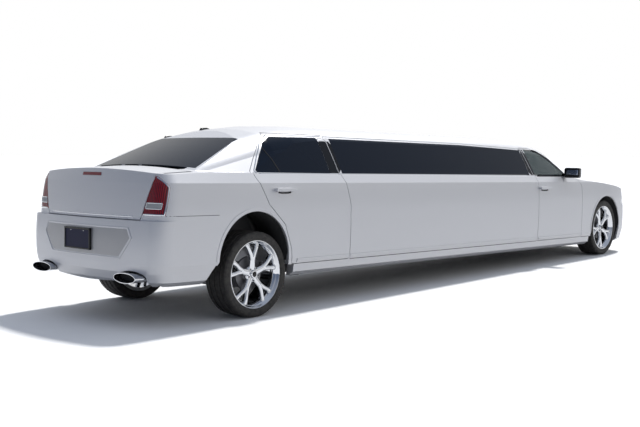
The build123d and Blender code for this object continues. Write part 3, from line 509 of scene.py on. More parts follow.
def bars(name, boxes, mat, bevel=1.5, body="root", segments=2):
    """Several bevelled bars in one piece; boxes hold x0, x1, y0, y1, z0, z1."""
    verts, faces = [], []
    for x0, x1, y0, y1, z0, z1 in boxes:
        start = len(verts)
        verts += [P(x, y, z) for x in (x0, x1) for y in (y0, y1) for z in (z0, z1)]
        faces += [tuple(start + i for i in f) for f in BOX_FACES]
    return bevelled(new_piece(name, verts, faces, mat, body), bevel / 1000, segments)


def prism(name, profile, y0, y1, mat, body="root"):
    """A closed side profile (x, z) between two widths."""
    verts = [P(x, y, z) for y in (y0, y1) for x, z in profile]
    n = len(profile)
    return new_piece(name, verts, caps(2 * n, n) + skin(2, n, ring=True), mat, body, smooth=False)


def tube(name, points, radius, mat, body="root"):
    """A round bar along a curve."""
    data = bpy.data.curves.new(name, "CURVE")
    data.dimensions = "3D"
    data.bevel_depth = radius / 1000
    data.bevel_resolution = 3
    spline = data.splines.new("POLY")
    spline.points.add(len(points) - 1)
    for spot, point in zip(spline.points, points):
        spot.co = (*point, 1)
    piece = added(name, data)
    placed(piece, mat, body)
    return piece


# Wheels: profiles hold radius and distance from the middle, in millimetres
TYRE_SIDE = [
    (282, 106), (292, 112), (297, 119), (305, 123.5), (316, 126.5), (320, 125.6), (324, 127), (338, 127),
    (344, 125.2), (348, 125.6), (354, 122.5), (359, 119),
]
SHOULDER = [(363.5, 114.5), (365.5, 104)]
TREAD_HALF, TREAD_DROP = 114.0, 4.5
GROOVES, GROOVE_DEPTH = (62, 0, -62), 8
BLOCKS, BLOCK_ANGLE, BLOCK_DEPTH = 72, 0.031, 4
# Tread blocks across one pitch: from, to, skew in radians
BLOCK_ROWS = ((12, 55, 0.02), (-55, -12, -0.02), (72, 113, 0.03), (-113, -72, -0.03))
RIM_PROFILE = [
    (266, -92), (276, -101), (282, -117), (287, -121), (292, -119.5), (294, -116), (294, -110), (283, -108),
    (281, 108), (294, 110), (294, 119), (262, 119), (258, 60), (252, -30), (250, -66), (256, -78),
    (266, -92),
]
HUB_DOME = [
    (0, -104), (20, -103), (32, -99), (36, -92), (38, -86), (62, -82), (74, -74), (80, -60), (80, -36),
    (0, -36),
]
BRAKE_DISC = [(60, -11), (147, -11), (150, -8), (150, 8), (147, 11), (60, 11), (60, -11)]
DISC_Y = 16
HUB_CAP = [(0, -105.2), (17, -104.6), (24, -102.2)]
SPOKES = 5
REAR_TURN = 0.35
# Section of a spoke: share of its half width, drop below its crown; None is its back
SPOKE_SECTION = (
    (-1, None), (-1, 16), (-0.82, 7), (-0.45, 1.5), (0, 0), (0.45, 1.5), (0.82, 7), (1, 16), (1, None),
)
# Stations of a spoke: out, across, half width, crown y, back y
STEM = ((36, 0, 36, -86, -50), (90, 0, 29, -93, -58), (150, 0, 25, -99, -62))
ARM = (
    (124, 5, 20, -97, -62), (175, 20, 19, -100, -62), (215, 40, 18, -101, -62), (246, 52, 21, -99, -62),
    (267, 57, 31, -94, -62),
)
NUT_CIRCLE, NUT_R, NUT_Y = 54, 8.5, (-80, -91)


def crown(y):
    """Radius of the tread at a distance from its middle."""
    return TYRE_R - TREAD_DROP * (abs(y) / TREAD_HALF) ** 2


def tread_rows():
    """The crown of the tyre with its grooves."""
    rows = list(SHOULDER)
    for g in GROOVES:
        rise = crown(g)
        rows += [(rise, g + 7), (rise - GROOVE_DEPTH, g + 5), (rise - GROOVE_DEPTH, g - 5), (rise, g - 7)]
    return rows + [(r, -y) for r, y in reversed(SHOULDER)]


def add_tyre(place, centre):
    """Tyre with three grooves and rows of tread blocks."""
    profile = TYRE_SIDE + tread_rows() + [(r, -y) for r, y in reversed(TYRE_SIDE)] + [TYRE_SIDE[0]]
    verts, faces = revolved(profile, 96, centre)
    for i in range(BLOCKS):
        a = 2 * pi * i / BLOCKS
        for y0, y1, skew in BLOCK_ROWS:
            start = len(verts)
            ends, turns = ((y0, 0), (y1, skew)), (-BLOCK_ANGLE, BLOCK_ANGLE)
            for (y, shift), turn, drop in product(ends, turns, (BLOCK_DEPTH, 0)):
                verts.append(centre + polar(crown(y) - drop, a + turn + shift, y) / 1000)
            faces += [tuple(start + j for j in f) for f in BOX_FACES]
    piece = new_piece("tyre_%s_tread" % place, verts, faces, RUBBER, "wheel_" + place, sharp=30)
    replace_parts(piece, "tyre_" + place)


def blade(verts, faces, stations, place):
    """A closed bar through stations, crowned outside."""
    first, k = len(verts), len(SPOKE_SECTION)
    for i, (u, v, w, y0, y1) in enumerate(stations):
        a, b = stations[max(0, i - 1)], stations[min(len(stations) - 1, i + 1)]
        d = Vector((b[0] - a[0], b[1] - a[1])).normalized()
        nx, nv = -d[1], d[0]
        for across, y in SPOKE_SECTION:
            verts.append(place(u + nx * w * across, v + nv * w * across, y1 if y is None else y0 + y))
    faces += skin(len(stations), k, ring=True, start=first)
    faces += caps(len(verts), k, first)


def add_spoke(verts, faces, a):
    """A spoke at an angle: stem, two arms, and a wheel nut on each side."""
    def place(u, v, y):
        return Vector((u * cos(a) - v * sin(a), y, u * sin(a) + v * cos(a))) / 1000

    blade(verts, faces, STEM, place)
    for tilt in (-1, 1):
        blade(verts, faces, [(u, tilt * v, w, y0, y1) for u, v, w, y0, y1 in ARM], place)
    hexagon = [(NUT_R * cos(k * pi / 3), NUT_R * sin(k * pi / 3)) for k in range(6)]
    for j in (-1, 1):
        nut = polar(NUT_CIRCLE, a + pi / SPOKES * j * 0.98)
        start = len(verts)
        verts += [Vector((nut.x + p, y, nut.z + q)) / 1000 for y in NUT_Y for p, q in hexagon]
        faces += skin(2, 6, ring=True, start=start)
        faces.append(tuple(start + 6 + k for k in range(6)))


def add_rim(place, side, centre):
    """Chrome wheel with split spokes and a cap, and the brake disc behind it."""
    name, body = "rim_" + place, "wheel_" + place
    verts, faces = revolved(RIM_PROFILE, 80, Vector((0, 0, 0)))
    more, extra = revolved(HUB_DOME, 40, Vector((0, 0, 0)))
    faces += [tuple(len(verts) + i for i in f) for f in extra]
    verts += more
    turn = random.uniform(0, 2 * pi) if place.startswith("front") else REAR_TURN
    for i in range(SPOKES):
        add_spoke(verts, faces, turn + 2 * pi * i / SPOKES)
    verts = [centre + Vector((v.x, -side * v.y, v.z)) for v in verts]
    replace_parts(new_piece(name + "_chrome", verts, faces, CHROME, body, sharp=40), name)
    verts, faces = revolved([(r, side * (DISC_Y - y)) for r, y in BRAKE_DISC], 48, centre)
    new_piece(name + "_disc", verts, faces, CAST, body)
    verts, faces = revolved([(r, -side * y) for r, y in HUB_CAP], 32, centre)
    new_piece(name + "_cap", verts, faces, BLACK, body)


for (end, x), (side, way) in product((("rear", 0), ("front", WHEELBASE)), SIDES):
    centre = Vector((x - CENTRE_X, side * WHEEL_Y, TYRE_R)) / 1000
    add_tyre("%s_%s" % (end, way), centre)
    add_rim("%s_%s" % (end, way), side, centre)


# Wheel wells
LINER_OUT, LINER_FOOT, TUCK_Z, TUCK = 923, 215, 420, 0.3


def arc(x, z, radius, start, stop, steps):
    """Points of an arc in the side view, angles in degrees."""
    turns = [radians(start + (stop - start) * i / steps) for i in range(steps + 1)]
    return [(x + radius * cos(a), z + radius * sin(a)) for a in turns]


def thicken(piece, thickness, offset):
    """Gives a sheet its thickness in metres."""
    mod = piece.modifiers.new("thick", "SOLIDIFY")
    mod.thickness = thickness
    mod.offset = offset


def add_liner(name, x, z, radius, y_in, side, legs):
    """A black liner just inside a wheel well: front leg, arch, rear leg."""
    front_leg, rear_leg = legs
    path = [(x + front_leg, LINER_FOOT)] + arc(x, z, radius, 0, 180, 24) + [(x - rear_leg, LINER_FOOT)]
    verts = []
    for u, v in path:
        outer = LINER_OUT - max(0.0, TUCK_Z - v) * TUCK
        verts += [P(u, side * outer, v), P(u, side * y_in, v)]
    thicken(new_piece(name, verts, skin(len(path), 2), LINER), 0.002, 0)


for side, way in SIDES:
    add_liner("liner_rear_" + way, -45, 358, 416, 606, side, (455, 618))
    add_liner("liner_front_" + way, WHEELBASE - 7.2, 379.5, 441, 446, side, (441, 441))


# Side trim: widths and heights of the strips
FRAME_TRIM = (11.0, 3.0)
BELT_TRIM = (14.0, 4.0)
POST_LIFT = 0.8
SIDE_AND_ROOF = ["side_panels", "roof"]


def add_window_trim(way):
    """Bright strips round the side windows and along the belt."""
    rear_door, front_door = "door_rear_" + way, "door_front_" + way
    rear_head = [(48, 1082), (30, 1106), (262, 1362), (404, 1424), (1070, 1430)]
    long_top = [(1108, 1431), (WHEELBASE - 3200, 1431), (FRONT_REAR - 40, 1402)]
    front_head = [(FRONT_REAR - 4, 1400), (FRONT_EDGE - 900, 1397), (FRONT_EDGE - 728, 1366)]
    front_head += [(FRONT_EDGE - 530, 1268), (FRONT_EDGE - 290, 1104)]
    front_belt = [(FRONT_REAR + 36, 1077), (FRONT_EDGE - 330, 1080)]
    for tag, points, size, names, body in (
        ("rear_door", rear_head, FRAME_TRIM, [rear_door], rear_door),
        ("rear_belt", [(66, 1079), (1110, 1079)], BELT_TRIM, [rear_door], rear_door),
        ("long_top", long_top, FRAME_TRIM, SIDE_AND_ROOF, "root"),
        ("long_belt", [(1134, 1079), (FRONT_REAR + 8, 1077)], BELT_TRIM, ["side_panels"], "root"),
        ("front_belt", front_belt, BELT_TRIM, [front_door], front_door),
        ("front_head", front_head, FRAME_TRIM, [front_door], front_door),
    ):
        ribbon("trim_%s_%s" % (tag, way), points, *size, names, way, CHROME, body)


def add_posts(way):
    """Dark posts between the panes, and the rear door's division bar."""
    rear_door, front_door = "door_rear_" + way, "door_front_" + way
    front = [(31, 1088), (66, 1088), (44, 1392), (-13, 1392)]
    middle = [(-66, 1086), (17, 1086), (-27, 1394), (-74, 1392)]
    for tag, outline, names, body in (
        ("rear", [(998, 1088), (1119, 1088), (1098, 1412), (988, 1412)], [rear_door], rear_door),
        ("long", [(1131, 1088), (1174, 1088), (1164, 1412), (1111, 1412)], SIDE_AND_ROOF, "root"),
        ("mid", [(FRONT_REAR + x, z) for x, z in middle], SIDE_AND_ROOF, "root"),
        ("front", [(FRONT_REAR + x, z) for x, z in front], [front_door], front_door),
    ):
        patch("post_%s_%s" % (tag, way), outline, names, way, POST, POST_LIFT, body=body)
    bar = [(330, 1094), (236, 1330)]
    ribbon("division_" + way, bar, 14, 2, ["glass_rear_" + way], way, BLACK, rear_door)


GROOVE_TRIM, GROOVE_Z = (7, 0.6), 285
BEAD_TRIM, BEAD_Z = (34, 6), 318


def add_low_trim(way):
    """The groove and the bead along the foot of the side."""
    low_skin = ["side_panels", "rockers", "fenders"]
    for tag, x0, x1 in (("long", 1204, FRONT_REAR - 4), ("fender", FRONT_EDGE + 6, WHEELBASE - 470)):
        line = [(x0, GROOVE_Z), (x1, GROOVE_Z)]
        ribbon("groove_%s_%s" % (tag, way), line, *GROOVE_TRIM, low_skin, way, BLACK)
    for tag, x0, x1, node, body in (
        ("rear", 470, 1188, "door_rear_" + way, "door_rear_" + way),
        ("long", 1202, FRONT_REAR - 3, "side_panels", "root"),
        ("front", FRONT_REAR + 6, FRONT_EDGE - 8, "door_front_" + way, "door_front_" + way),
        ("fender", FRONT_EDGE + 6, WHEELBASE - 476, "fenders", "root"),
    ):
        line = [(x0, BEAD_Z), (x1, BEAD_Z)]
        ribbon("bead_%s_%s" % (tag, way), line, *BEAD_TRIM, [node], way, SILVER, body)


def add_arch_lips(way):
    """Lips of the wheel arches, and the line above the rear bumper."""
    rear_skin, front_skin = ["quarter_panels", "rear_bumper"], ["fenders", "front_bumper"]
    ribbon("arch_rear_" + way, arc(-45, 358, 428, 60, 195, 27), 20, 4, rear_skin, way, SILVER)
    front = arc(WHEELBASE - 7, 380, 453, -6, 184, 38)
    ribbon("arch_front_" + way, front, 18, 4, front_skin, way, SILVER)
    line = [(-1060, 742), (-800, 741), (-460, 741)]
    ribbon("cut_bumper_" + way, line, 4, 0.5, rear_skin, way, BLACK)


for _, way in SIDES:
    add_window_trim(way)
    add_posts(way)
    add_low_trim(way)
    add_arch_lips(way)


# Tail
PLATE_Y, PLATE_Z = 56.0, 524.0
# Bars of the plate's frame: y from and to, z from and to
PLATE_FRAME = ((-180, 180, 600, 616), (-180, 180, 438, 450), (-180, -166, 438, 616), (166, 180, 438, 616))
FIN_CORNERS = (
    (-0.02, -0.02, -0.003), (0.13, -0.02, -0.003), (0.13, 0.02, -0.003), (-0.02, 0.02, -0.003),
    (-0.015, -0.004, 0.02), (0.06, -0.006, 0.022), (0.06, 0.006, 0.022), (-0.015, 0.004, 0.02),
)
FIN_FACES = [(0, 1, 2, 3), (4, 5, 6, 7), (0, 1, 5, 4), (1, 2, 6, 5), (2, 3, 7, 6), (3, 0, 4, 7)]


def add_plate():
    """Blank plate in its black frame, level on the bumper's middle."""
    hit, _ = project(["rear_bumper"], 0, PLATE_Z, "rear")
    x = level_x(hit.x, PLATE_Z)
    border = [(x - 17, x + 2, PLATE_Y + y0, PLATE_Y + y1, z0, z1) for y0, y1, z0, z1 in PLATE_FRAME]
    bars("plate_frame", border, BLACK)
    bars("plate_blank", [(x - 12, x + 2, PLATE_Y - 168, PLATE_Y + 168, 448, 602)], BLUE, 1.0)
    bolts = [(x - 14, x - 11, PLATE_Y + y - 5, PLATE_Y + y + 5, 588, 594) for y in (-89, 89)]
    bars("plate_bolts", bolts, CHROME, 1.0)


def add_recess():
    """The recess round the plate, with painted shade in it (a darker copy of the paint), and its raised
    edge.
    """
    panel = [(-545, 628), (-583, 560), (-459, 408), (459, 408), (583, 560), (545, 628)]
    patch("recess_painted_shade", panel, ["rear_bumper"], "rear", SHADED, 0.8, 60)
    edge = [(-560, 640), (-600, 560), (-470, 395), (470, 395), (600, 560), (560, 640)]
    ribbon("recess_edge", edge, 16, 5, ["rear_bumper"], "rear", SILVER, closed=True)


def add_lid_trim():
    """The gap under the lid, its bright rail and the high stop lamp."""
    gap, rail = [(-628, 703), (628, 703)], [(-560, 728), (560, 728)]
    ribbon("lid_gap", gap, 7, 0.5, ["rear_bumper", "trunk_lid"], "rear", BLACK)
    ribbon("lid_rail", rail, 10, 3, ["trunk_lid"], "rear", CHROME, "trunk_lid")
    stop = [(-130, 1048), (130, 1048), (124, 1074), (-124, 1074)]
    patch("stop_lamp", stop, ["trunk_lid"], "rear", RED_LENS, 3.0, 15, "trunk_lid")


def add_tail_lamp(side, way):
    """Bright edges of a tail lamp, and its ringed reversing lens."""
    tail = ["rear_bumper", "quarter_panels", "trunk_lid", "tail_lamps"]

    def flip(*points):
        return [(side * u, v) for u, v in points]

    foot = flip((668, 750), (860, 750))
    ribbon("lamp_foot_" + way, foot, 9, 3, ["tail_lamps"], "rear", CHROME, step=15.0)
    edge = [(-1020, 750), (-966, 750), (-922, 965), (-963, 1044), (-1010, 1044)]
    ribbon("lamp_edge_" + way, edge, 13, 3, ["tail_lamps"], way, CHROME, step=15.0)
    low = flip((682, 768), (860, 768), (862, 790), (686, 790))
    patch("reverse_low_" + way, low, tail, "rear", RED_LENS, 2.0, 15)
    lens = flip((690, 796), (838, 796), (844, 842), (698, 842))
    patch("reverse_lamp_" + way, lens, tail, "rear", GREY_LENS, 2.5, 15)
    ribbon("reverse_ring_" + way, lens, 6, 3.5, tail, "rear", CHROME, step=15.0, closed=True)


def add_fin(tag, x, y):
    """A small aerial fin on the roof."""
    hit, _ = project(["roof"], x, y, "top")
    corners = [hit + Vector(v) for v in FIN_CORNERS]
    bevelled(new_piece("roof_fin_" + tag, corners, FIN_FACES, BLACK), 0.004, 3)


add_plate()
add_recess()
add_lid_trim()
for side, way in SIDES:
    add_tail_lamp(side, way)
add_fin("right", 350, 210)
add_fin("left", 190, 540)


# Handles
CUP_POINTS, CUP_HALF = 28, 82
CUP_LAYERS = (4.5, -1.5)
# Stations of a pull: share of its length, half height, reach
PULL_ROWS = ((0, 8, 3), (0.06, 15, 14), (0.2, 17, 30), (0.5, 18, 36), (0.8, 17, 30), (0.94, 15, 14))
PULL_ROWS += ((1, 8, 3),)
# Its section: share of the half height, share of the reach
PULL_SECTION = ((-1, 0.25), (-0.8, 0.85), (-0.3, 1), (0.5, 0.95), (0.95, 0.6), (1, 0.1))


def add_cup_shade(door, way, side, middle, z):
    """A dark grey oval plate behind a handle: painted shade in its hollow, which is body colour."""
    verts = []
    for layer, i in product(CUP_LAYERS, range(CUP_POINTS)):
        a = 2 * pi * i / CUP_POINTS
        hit, _ = project([door], middle + CUP_HALF * cos(a), z + 34, way)
        lower = UP * (0.034 + 0.008 - 0.026 * sin(a))
        verts.append(hit - lower + LEFT * side * layer / 1000)
    faces = caps(2 * CUP_POINTS, CUP_POINTS) + skin(2, CUP_POINTS, ring=True)
    new_piece("cup_shade_" + door, verts, faces, CAST, door, sharp=60)


def add_handle(door, way, side, x0, x1, z):
    """A chunky pull in body colour, over painted shade in its hollow and a painted shadow under it."""
    add_cup_shade(door, way, side, (x0 + x1) / 2, z)
    verts, k = [], len(PULL_SECTION)
    for t, half, out in PULL_ROWS:
        hit, _ = project([door], x0 + 10 + (x1 - x0 - 20) * t, z + 32, way)
        foot = hit - UP * 0.032
        for up, depth in PULL_SECTION:
            verts.append(foot + UP * half * up / 1000 + LEFT * side * (out * depth - 1) / 1000)
    faces = skin(len(PULL_ROWS), k, ring=True) + caps(len(verts), k)
    # A black strip under the pull: painted shadow.
    under = [(x0 + 46, z - 24), (x0 + 90, z - 29), (x1 - 90, z - 29), (x1 - 46, z - 24)]
    ribbon("shade_" + door, under, 15, 1.2, [door], way, BLACK, door)
    piece = new_piece("handle_" + door, verts, faces, SILVER, door, sharp=60)
    smooth = piece.modifiers.new("smooth", "SUBSURF")
    smooth.levels = smooth.render_levels = 1


for side, way in SIDES:
    add_handle("door_rear_" + way, way, side, 178, 428, 943)
    add_handle("door_front_" + way, way, side, FRONT_REAR + 27, FRONT_REAR + 287, 928)


# Lamps, grille and mirrors
BOWL = [(2, 3), (18, 4), (34, 12), (46, 26), (52, 40), (55, 40), (49, 24), (36, 8), (18, 0), (2, -1)]
EYE = [(0.5, 22), (14, 20), (24, 14), (28, 4), (28, 0)]
FOG_RING = [(46, 0), (46, 6), (50, 9), (57, 7), (59, 0)]
FOG_EYE = [(0.5, 6), (26, 5), (44, 1), (46, -2)]
LAMP_Z, LAMP_DEPTH = 742, 0.058
FOG_Y, FOG_Z = 590, 330


def add_front_lamps(side, way):
    """Reflectors and lenses of a headlamp, and a ringed fog lamp."""
    for tag, y in (("outer", 712), ("inner", 560)):
        hit, _ = project(["headlamps"], side * y, LAMP_Z, "front")
        spot = hit - AHEAD * LAMP_DEPTH
        turned("bowl_%s_%s" % (tag, way), BOWL, 32, spot, AHEAD, REFLECTOR)
        turned("eye_%s_%s" % (tag, way), EYE, 24, spot, AHEAD, GREY_LENS)
    hit, normal = project(["front_bumper"], side * FOG_Y, FOG_Z, "front")
    turned("fog_ring_" + way, FOG_RING, 32, hit - normal * 0.003, normal, CHROME)
    turned("fog_lens_" + way, FOG_EYE, 24, hit, normal, GREY_LENS)


def add_intake():
    """The dark lower intake with three bars across it."""
    intake = [(-430, 300), (-380, 372), (380, 372), (430, 300), (400, 262), (-400, 262)]
    patch("lower_intake", intake, ["front_bumper"], "front", BLACK, 0.8)
    for i in range(3):
        z, half = 288 + 28 * i, 405 - 6 * i
        line = [(-half, z), (half, z)]
        ribbon("intake_bar_%d" % i, line, 7, 6, ["front_bumper"], "front", PLASTIC)


MESH_HALF, MESH_LOW, MESH_TOP = 392, 510, 780
WIRE_HALF = 1.6


def add_grille_mesh():
    """Crossed wires behind the bars of the grille."""
    low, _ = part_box("grille")
    x = level_x(low[0], 640)
    wires = []
    for i in range(29):
        y = 28 * i - MESH_HALF
        wires.append((x + 3, x + 7, y - WIRE_HALF, y + WIRE_HALF, MESH_LOW, MESH_TOP))
    for i in range(10):
        z = 522 + 27 * i
        wires.append((x + 3, x + 7, -MESH_HALF, MESH_HALF, z - WIRE_HALF, z + WIRE_HALF))
    bars("grille_mesh", wires, PLASTIC, 0.6)


# Rows of the corner strip: height, y of its front edge, x of its side edge from the wheels
CORNER_ROWS = (
    (636, 738, 738), (560, 738, 740), (480, 738, 740), (400, 738, 740), (350, 734, 736), (320, 714, 716),
    (280, 692, 714), (245, 656, 696),
)
# Its section: share of the way to the front edge, rise
CORNER_SECTION = ((0, 1.5), (0.25, 8), (0.5, 11), (0.75, 8), (1, 1.5))


def add_corner_strip(side, way):
    """Closes the front bumper's corner, where two runs of its skin meet."""
    nodes, outward = ["front_bumper", "fenders"], (AHEAD + LEFT * side).normalized()
    verts = []
    for z, front_y, ahead in CORNER_ROWS:
        a, _ = project(nodes, WHEELBASE + ahead, z, way)
        b, _ = project(nodes, side * front_y, z, "front")
        verts += [a.lerp(b, t) + outward * rise / 1000 for t, rise in CORNER_SECTION]
    faces = skin(len(CORNER_ROWS), len(CORNER_SECTION))
    thicken(new_piece("bumper_corner_" + way, verts, faces, SILVER), 0.004, -1)


def add_mirror_glass(side, way):
    """The silvered glass on the back of a door mirror."""
    low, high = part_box("mirror_" + way)
    outer = max(abs(low[1]), abs(high[1])) * 1000 - 14
    inner = outer - 150
    middle = ((low[2] + high[2]) * 500 - TAIL_LIFT + S * (low[0] * 1000 + CENTRE_X)) / C
    outline = [(side * inner, middle - 18), (side * outer, middle - 26), (side * outer, middle + 38)]
    outline += [(side * (inner + 12), middle + 34)]
    mirror, door = ["mirror_" + way], "door_front_" + way
    patch("mirror_glass_" + way, outline, mirror, "rear", REFLECTOR, 1.5, 12, door)


WIPER_POINTS, WIPER_RISE, WIPER_R = 12, 40, 5


def add_wiper(tag, start, stop):
    """A wiper along the foot of the windshield."""
    points = []
    for i in range(WIPER_POINTS + 1):
        t = i / WIPER_POINTS
        x, y = WHEELBASE - 742 - WIPER_RISE * t, start + (stop - start) * t
        hit, normal = project(["windshield"], x, y, "top")
        if hit is not None:
            points.append(hit + normal * 0.009)
    tube("wiper_" + tag, points, WIPER_R, PLASTIC)


for side, way in SIDES:
    add_front_lamps(side, way)
    add_corner_strip(side, way)
    add_mirror_glass(side, way)
add_intake()
add_grille_mesh()
add_wiper("right", -690, -60)
add_wiper("left", 20, 620)


# Seats
PRESSURE = 4.0
CLOTH_FRAMES = 20
SEAM_R = 3.5


def applied(piece):
    """The piece with its modifiers made part of its mesh."""
    graph = bpy.context.evaluated_depsgraph_get()
    mesh = bpy.data.meshes.new_from_object(piece.evaluated_get(graph))
    piece.modifiers.clear()
    piece.data = mesh
    return piece


def swell(piece, cap):
    """Swells a piece with cloth, each point within a cap of its start."""
    scene = bpy.context.scene
    start = [v.co.copy() for v in piece.data.vertices]
    cloth = piece.modifiers.new("cloth", "CLOTH")
    cloth.settings.use_pressure = True
    cloth.settings.uniform_pressure_force = PRESSURE
    cloth.settings.effector_weights.gravity = 0.0
    cloth.settings.quality = 4
    cloth.point_cache.frame_start, cloth.point_cache.frame_end = 1, CLOTH_FRAMES
    for number in range(1, CLOTH_FRAMES + 1):
        scene.frame_set(number)
    applied(piece)
    scene.frame_set(1)
    for v, old in zip(piece.data.vertices, start):
        move = v.co - old
        if move.length > cap:
            v.co = old + move.normalized() * cap


def cushion(name, profile, y0, y1, voxel=0.022, cap=0.014):
    """A crowned leather cushion, swelled from a prism."""
    piece = prism(name, profile, y0, y1, LEATHER)
    remesh = piece.modifiers.new("remesh", "REMESH")
    remesh.mode = "VOXEL"
    remesh.voxel_size = voxel
    applied(piece)
    swell(piece, cap)
    soft = piece.modifiers.new("soft", "SMOOTH")
    soft.factor, soft.iterations = 0.5, 6
    fine = piece.modifiers.new("fine", "SUBSURF")
    fine.levels = fine.render_levels = 1
    applied(piece)
    piece.data.shade_smooth()
    return piece


def copied(source, name, shift):
    """The same cushion again, moved by millimetres."""
    piece = added(name, source.data.copy())
    step = (AHEAD * shift[0] + LEFT * shift[1] + UP * shift[2]) / 1000
    for v in piece.data.vertices:
        v.co += step
    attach(piece, "root")
    return piece


SEAT_X = WHEELBASE - 1450.0
SEAT_Y = 400
PARTITION_X = FRONT_REAR - 150.0
PLINTH = (FLOOR_Z + 8, 440)
BENCH_HALF = 552
LONG_SEATS = 6


def add_front_seats():
    """Two padded seats with head restraints on chrome posts."""
    def at(*points):
        return [(SEAT_X + x, z) for x, z in points]

    base = at((-100, FLOOR_Z + 8), (300, FLOOR_Z + 8), (318, 372), (-130, 372))
    squab = at((-104, 386), (322, 386), (338, 492), (296, 522), (-46, 484))
    back = at((-172, 430), (-82, 505), (-186, 960), (-210, 992), (-288, 990))
    head = at((-198, 1058), (-204, 1212), (-276, 1212), (-284, 1062))
    bolster = at((-96, 470), (300, 478), (306, 530), (-50, 535))
    prism("seat_base_right", base, -610, -190, PLASTIC)
    prism("seat_base_left", base, 190, 610, PLASTIC)
    parts = [
        cushion("seat_squab_right", squab, -632, -168),
        cushion("seat_back_right", back, -628, -172),
        cushion("seat_head_right", head, -515, -285, 0.016, 0.01),
        cushion("seat_bolster_right", bolster, -644, -590, 0.014, 0.006),
    ]
    parts.append(copied(parts[-1], "seat_bolster_right_inner", (0, 432, 0)))
    for piece in parts:
        copied(piece, piece.name.replace("right", "left"), (0, 2 * SEAT_Y, 0))
    posts = []
    for y in (-SEAT_Y - 60, -SEAT_Y + 60, SEAT_Y - 60, SEAT_Y + 60):
        posts.append((SEAT_X - 246, SEAT_X - 234, y - 6, y + 6, 985, 1070))
    bars("seat_posts", posts, CHROME, 2)
    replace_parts(parts[0], "front_seats")


def add_lounge():
    """The rear bench and the long seat on the left, on carpeted plinths."""
    x0, x1 = 1195.0 + 60, PARTITION_X - 60
    plinths = [(445, 900, -BENCH_HALF, BENCH_HALF, *PLINTH), (x0, x1, INNER - 440, INNER - 8, *PLINTH)]
    bars("lounge_plinths", plinths, CARPET, 8)
    squab = [(400, 452), (928, 452), (936, 560), (905, 586), (455, 562)]
    back = [(345, 470), (438, 575), (222, 950), (140, 950), (85, 892)]
    width = 2 * BENCH_HALF / 3
    low = cushion("bench_squab_1", squab, -BENCH_HALF, -BENCH_HALF + width - 8)
    tall = cushion("bench_back_1", back, -BENCH_HALF, -BENCH_HALF + width - 8)
    for i in (1, 2):
        copied(low, "bench_squab_%d" % (i + 1), (0, width * i, 0))
        copied(tall, "bench_back_%d" % (i + 1), (0, width * i, 0))
    span = (x1 - x0) / LONG_SEATS

    def block(z0, z1):
        return [(x0 + 4, z0), (x0 + span - 4, z0), (x0 + span - 4, z1), (x0 + 4, z1)]

    seat = cushion("long_squab_1", block(452, 580), INNER - 474, INNER - 120)
    rest = cushion("long_back_1", block(600, 950), INNER - 132, INNER - 22)
    for i in range(1, LONG_SEATS):
        copied(seat, "long_squab_%d" % (i + 1), (span * i, 0, 0))
        copied(rest, "long_back_%d" % (i + 1), (span * i, 0, 0))
    piping = [P(932, -548, 500), P(936, 0, 502), P(932, 548, 500)]
    tube("seam_bench", piping, SEAM_R, LEATHER)
    tube("seam_long", [P(x0 + 10, INNER - 478, 500), P(x1 - 10, INNER - 478, 500)], SEAM_R, LEATHER)
    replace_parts(low, "lounge_seats")


add_front_seats()
add_lounge()


# Cabin
CARD_LAYERS = (4.0, 16.0)
CARD_LOW, CARD_TOP = 330, 1060


def meets(node, x, z, side):
    """Whether a node has an inner face there."""
    return tree(node).ray_cast(P(x, side * 500, z), Vector((0, side, 0)))[0] is not None


def door_card(way, side, tag, x0, x1):
    """A panel on a door's inner face with an armrest and a pull."""
    door = "door_%s_%s" % (tag, way)
    rows, columns = 9, 12
    verts, keep, wanted = [], {}, []
    for layer, i, j in product(CARD_LAYERS, range(columns + 1), range(rows + 1)):
        x, z = x0 + (x1 - x0) * i / columns, CARD_LOW + (CARD_TOP - CARD_LOW) * j / rows
        if meets(door, x, z, side):
            edge = 5 if i in (0, columns) or j in (0, rows) else 0
            keep[(layer, i, j)] = len(verts)
            verts.append(P(x, side * (INNER - layer + edge), z))
    for layer, i, j in product(CARD_LAYERS, range(columns), range(rows)):
        wanted.append([(layer, i, j), (layer, i + 1, j), (layer, i + 1, j + 1), (layer, i, j + 1)])
    under, over = CARD_LAYERS
    rim = sampled([(0, 0), (columns, 0), (columns, rows), (0, rows)], 1, True)
    wanted += [[(under, *a), (under, *b), (over, *b), (over, *a)] for a, b in zip(rim, rim[1:] + rim[:1])]
    faces = [tuple(keep[key] for key in face) for face in wanted if all(key in keep for key in face)]
    new_piece("card_" + door, verts, faces, PLASTIC, door)
    middle = (x0 + x1) / 2
    y0, y1 = sorted((side * 776, side * 838))
    bars("armrest_" + door, [(middle - 190, middle + 150, y0, y1, 690, 735)], LEATHER, 14, door, 4)
    y0, y1 = sorted((side * 818, side * 829))
    bars("pull_" + door, [(middle + 40, middle + 130, y0, y1, 800, 822)], CHROME, 4, door)


def add_carpets():
    x0, x1, z = 445, WHEELBASE - 1010, FLOOR_Z
    halves = [(x0, x1, -838, -142, z, z + 7), (x0, x1, 142, 838, z, z + 7)]
    bars("floor_carpet", halves, CARPET, 2)
    bars("trunk_carpet", [(-940, 250, -540, 540, 420, 427)], CARPET, 2)


DIAL = [(2, 6), (40, 6), (52, 2), (58, 12), (62, 10), (60, 0)]


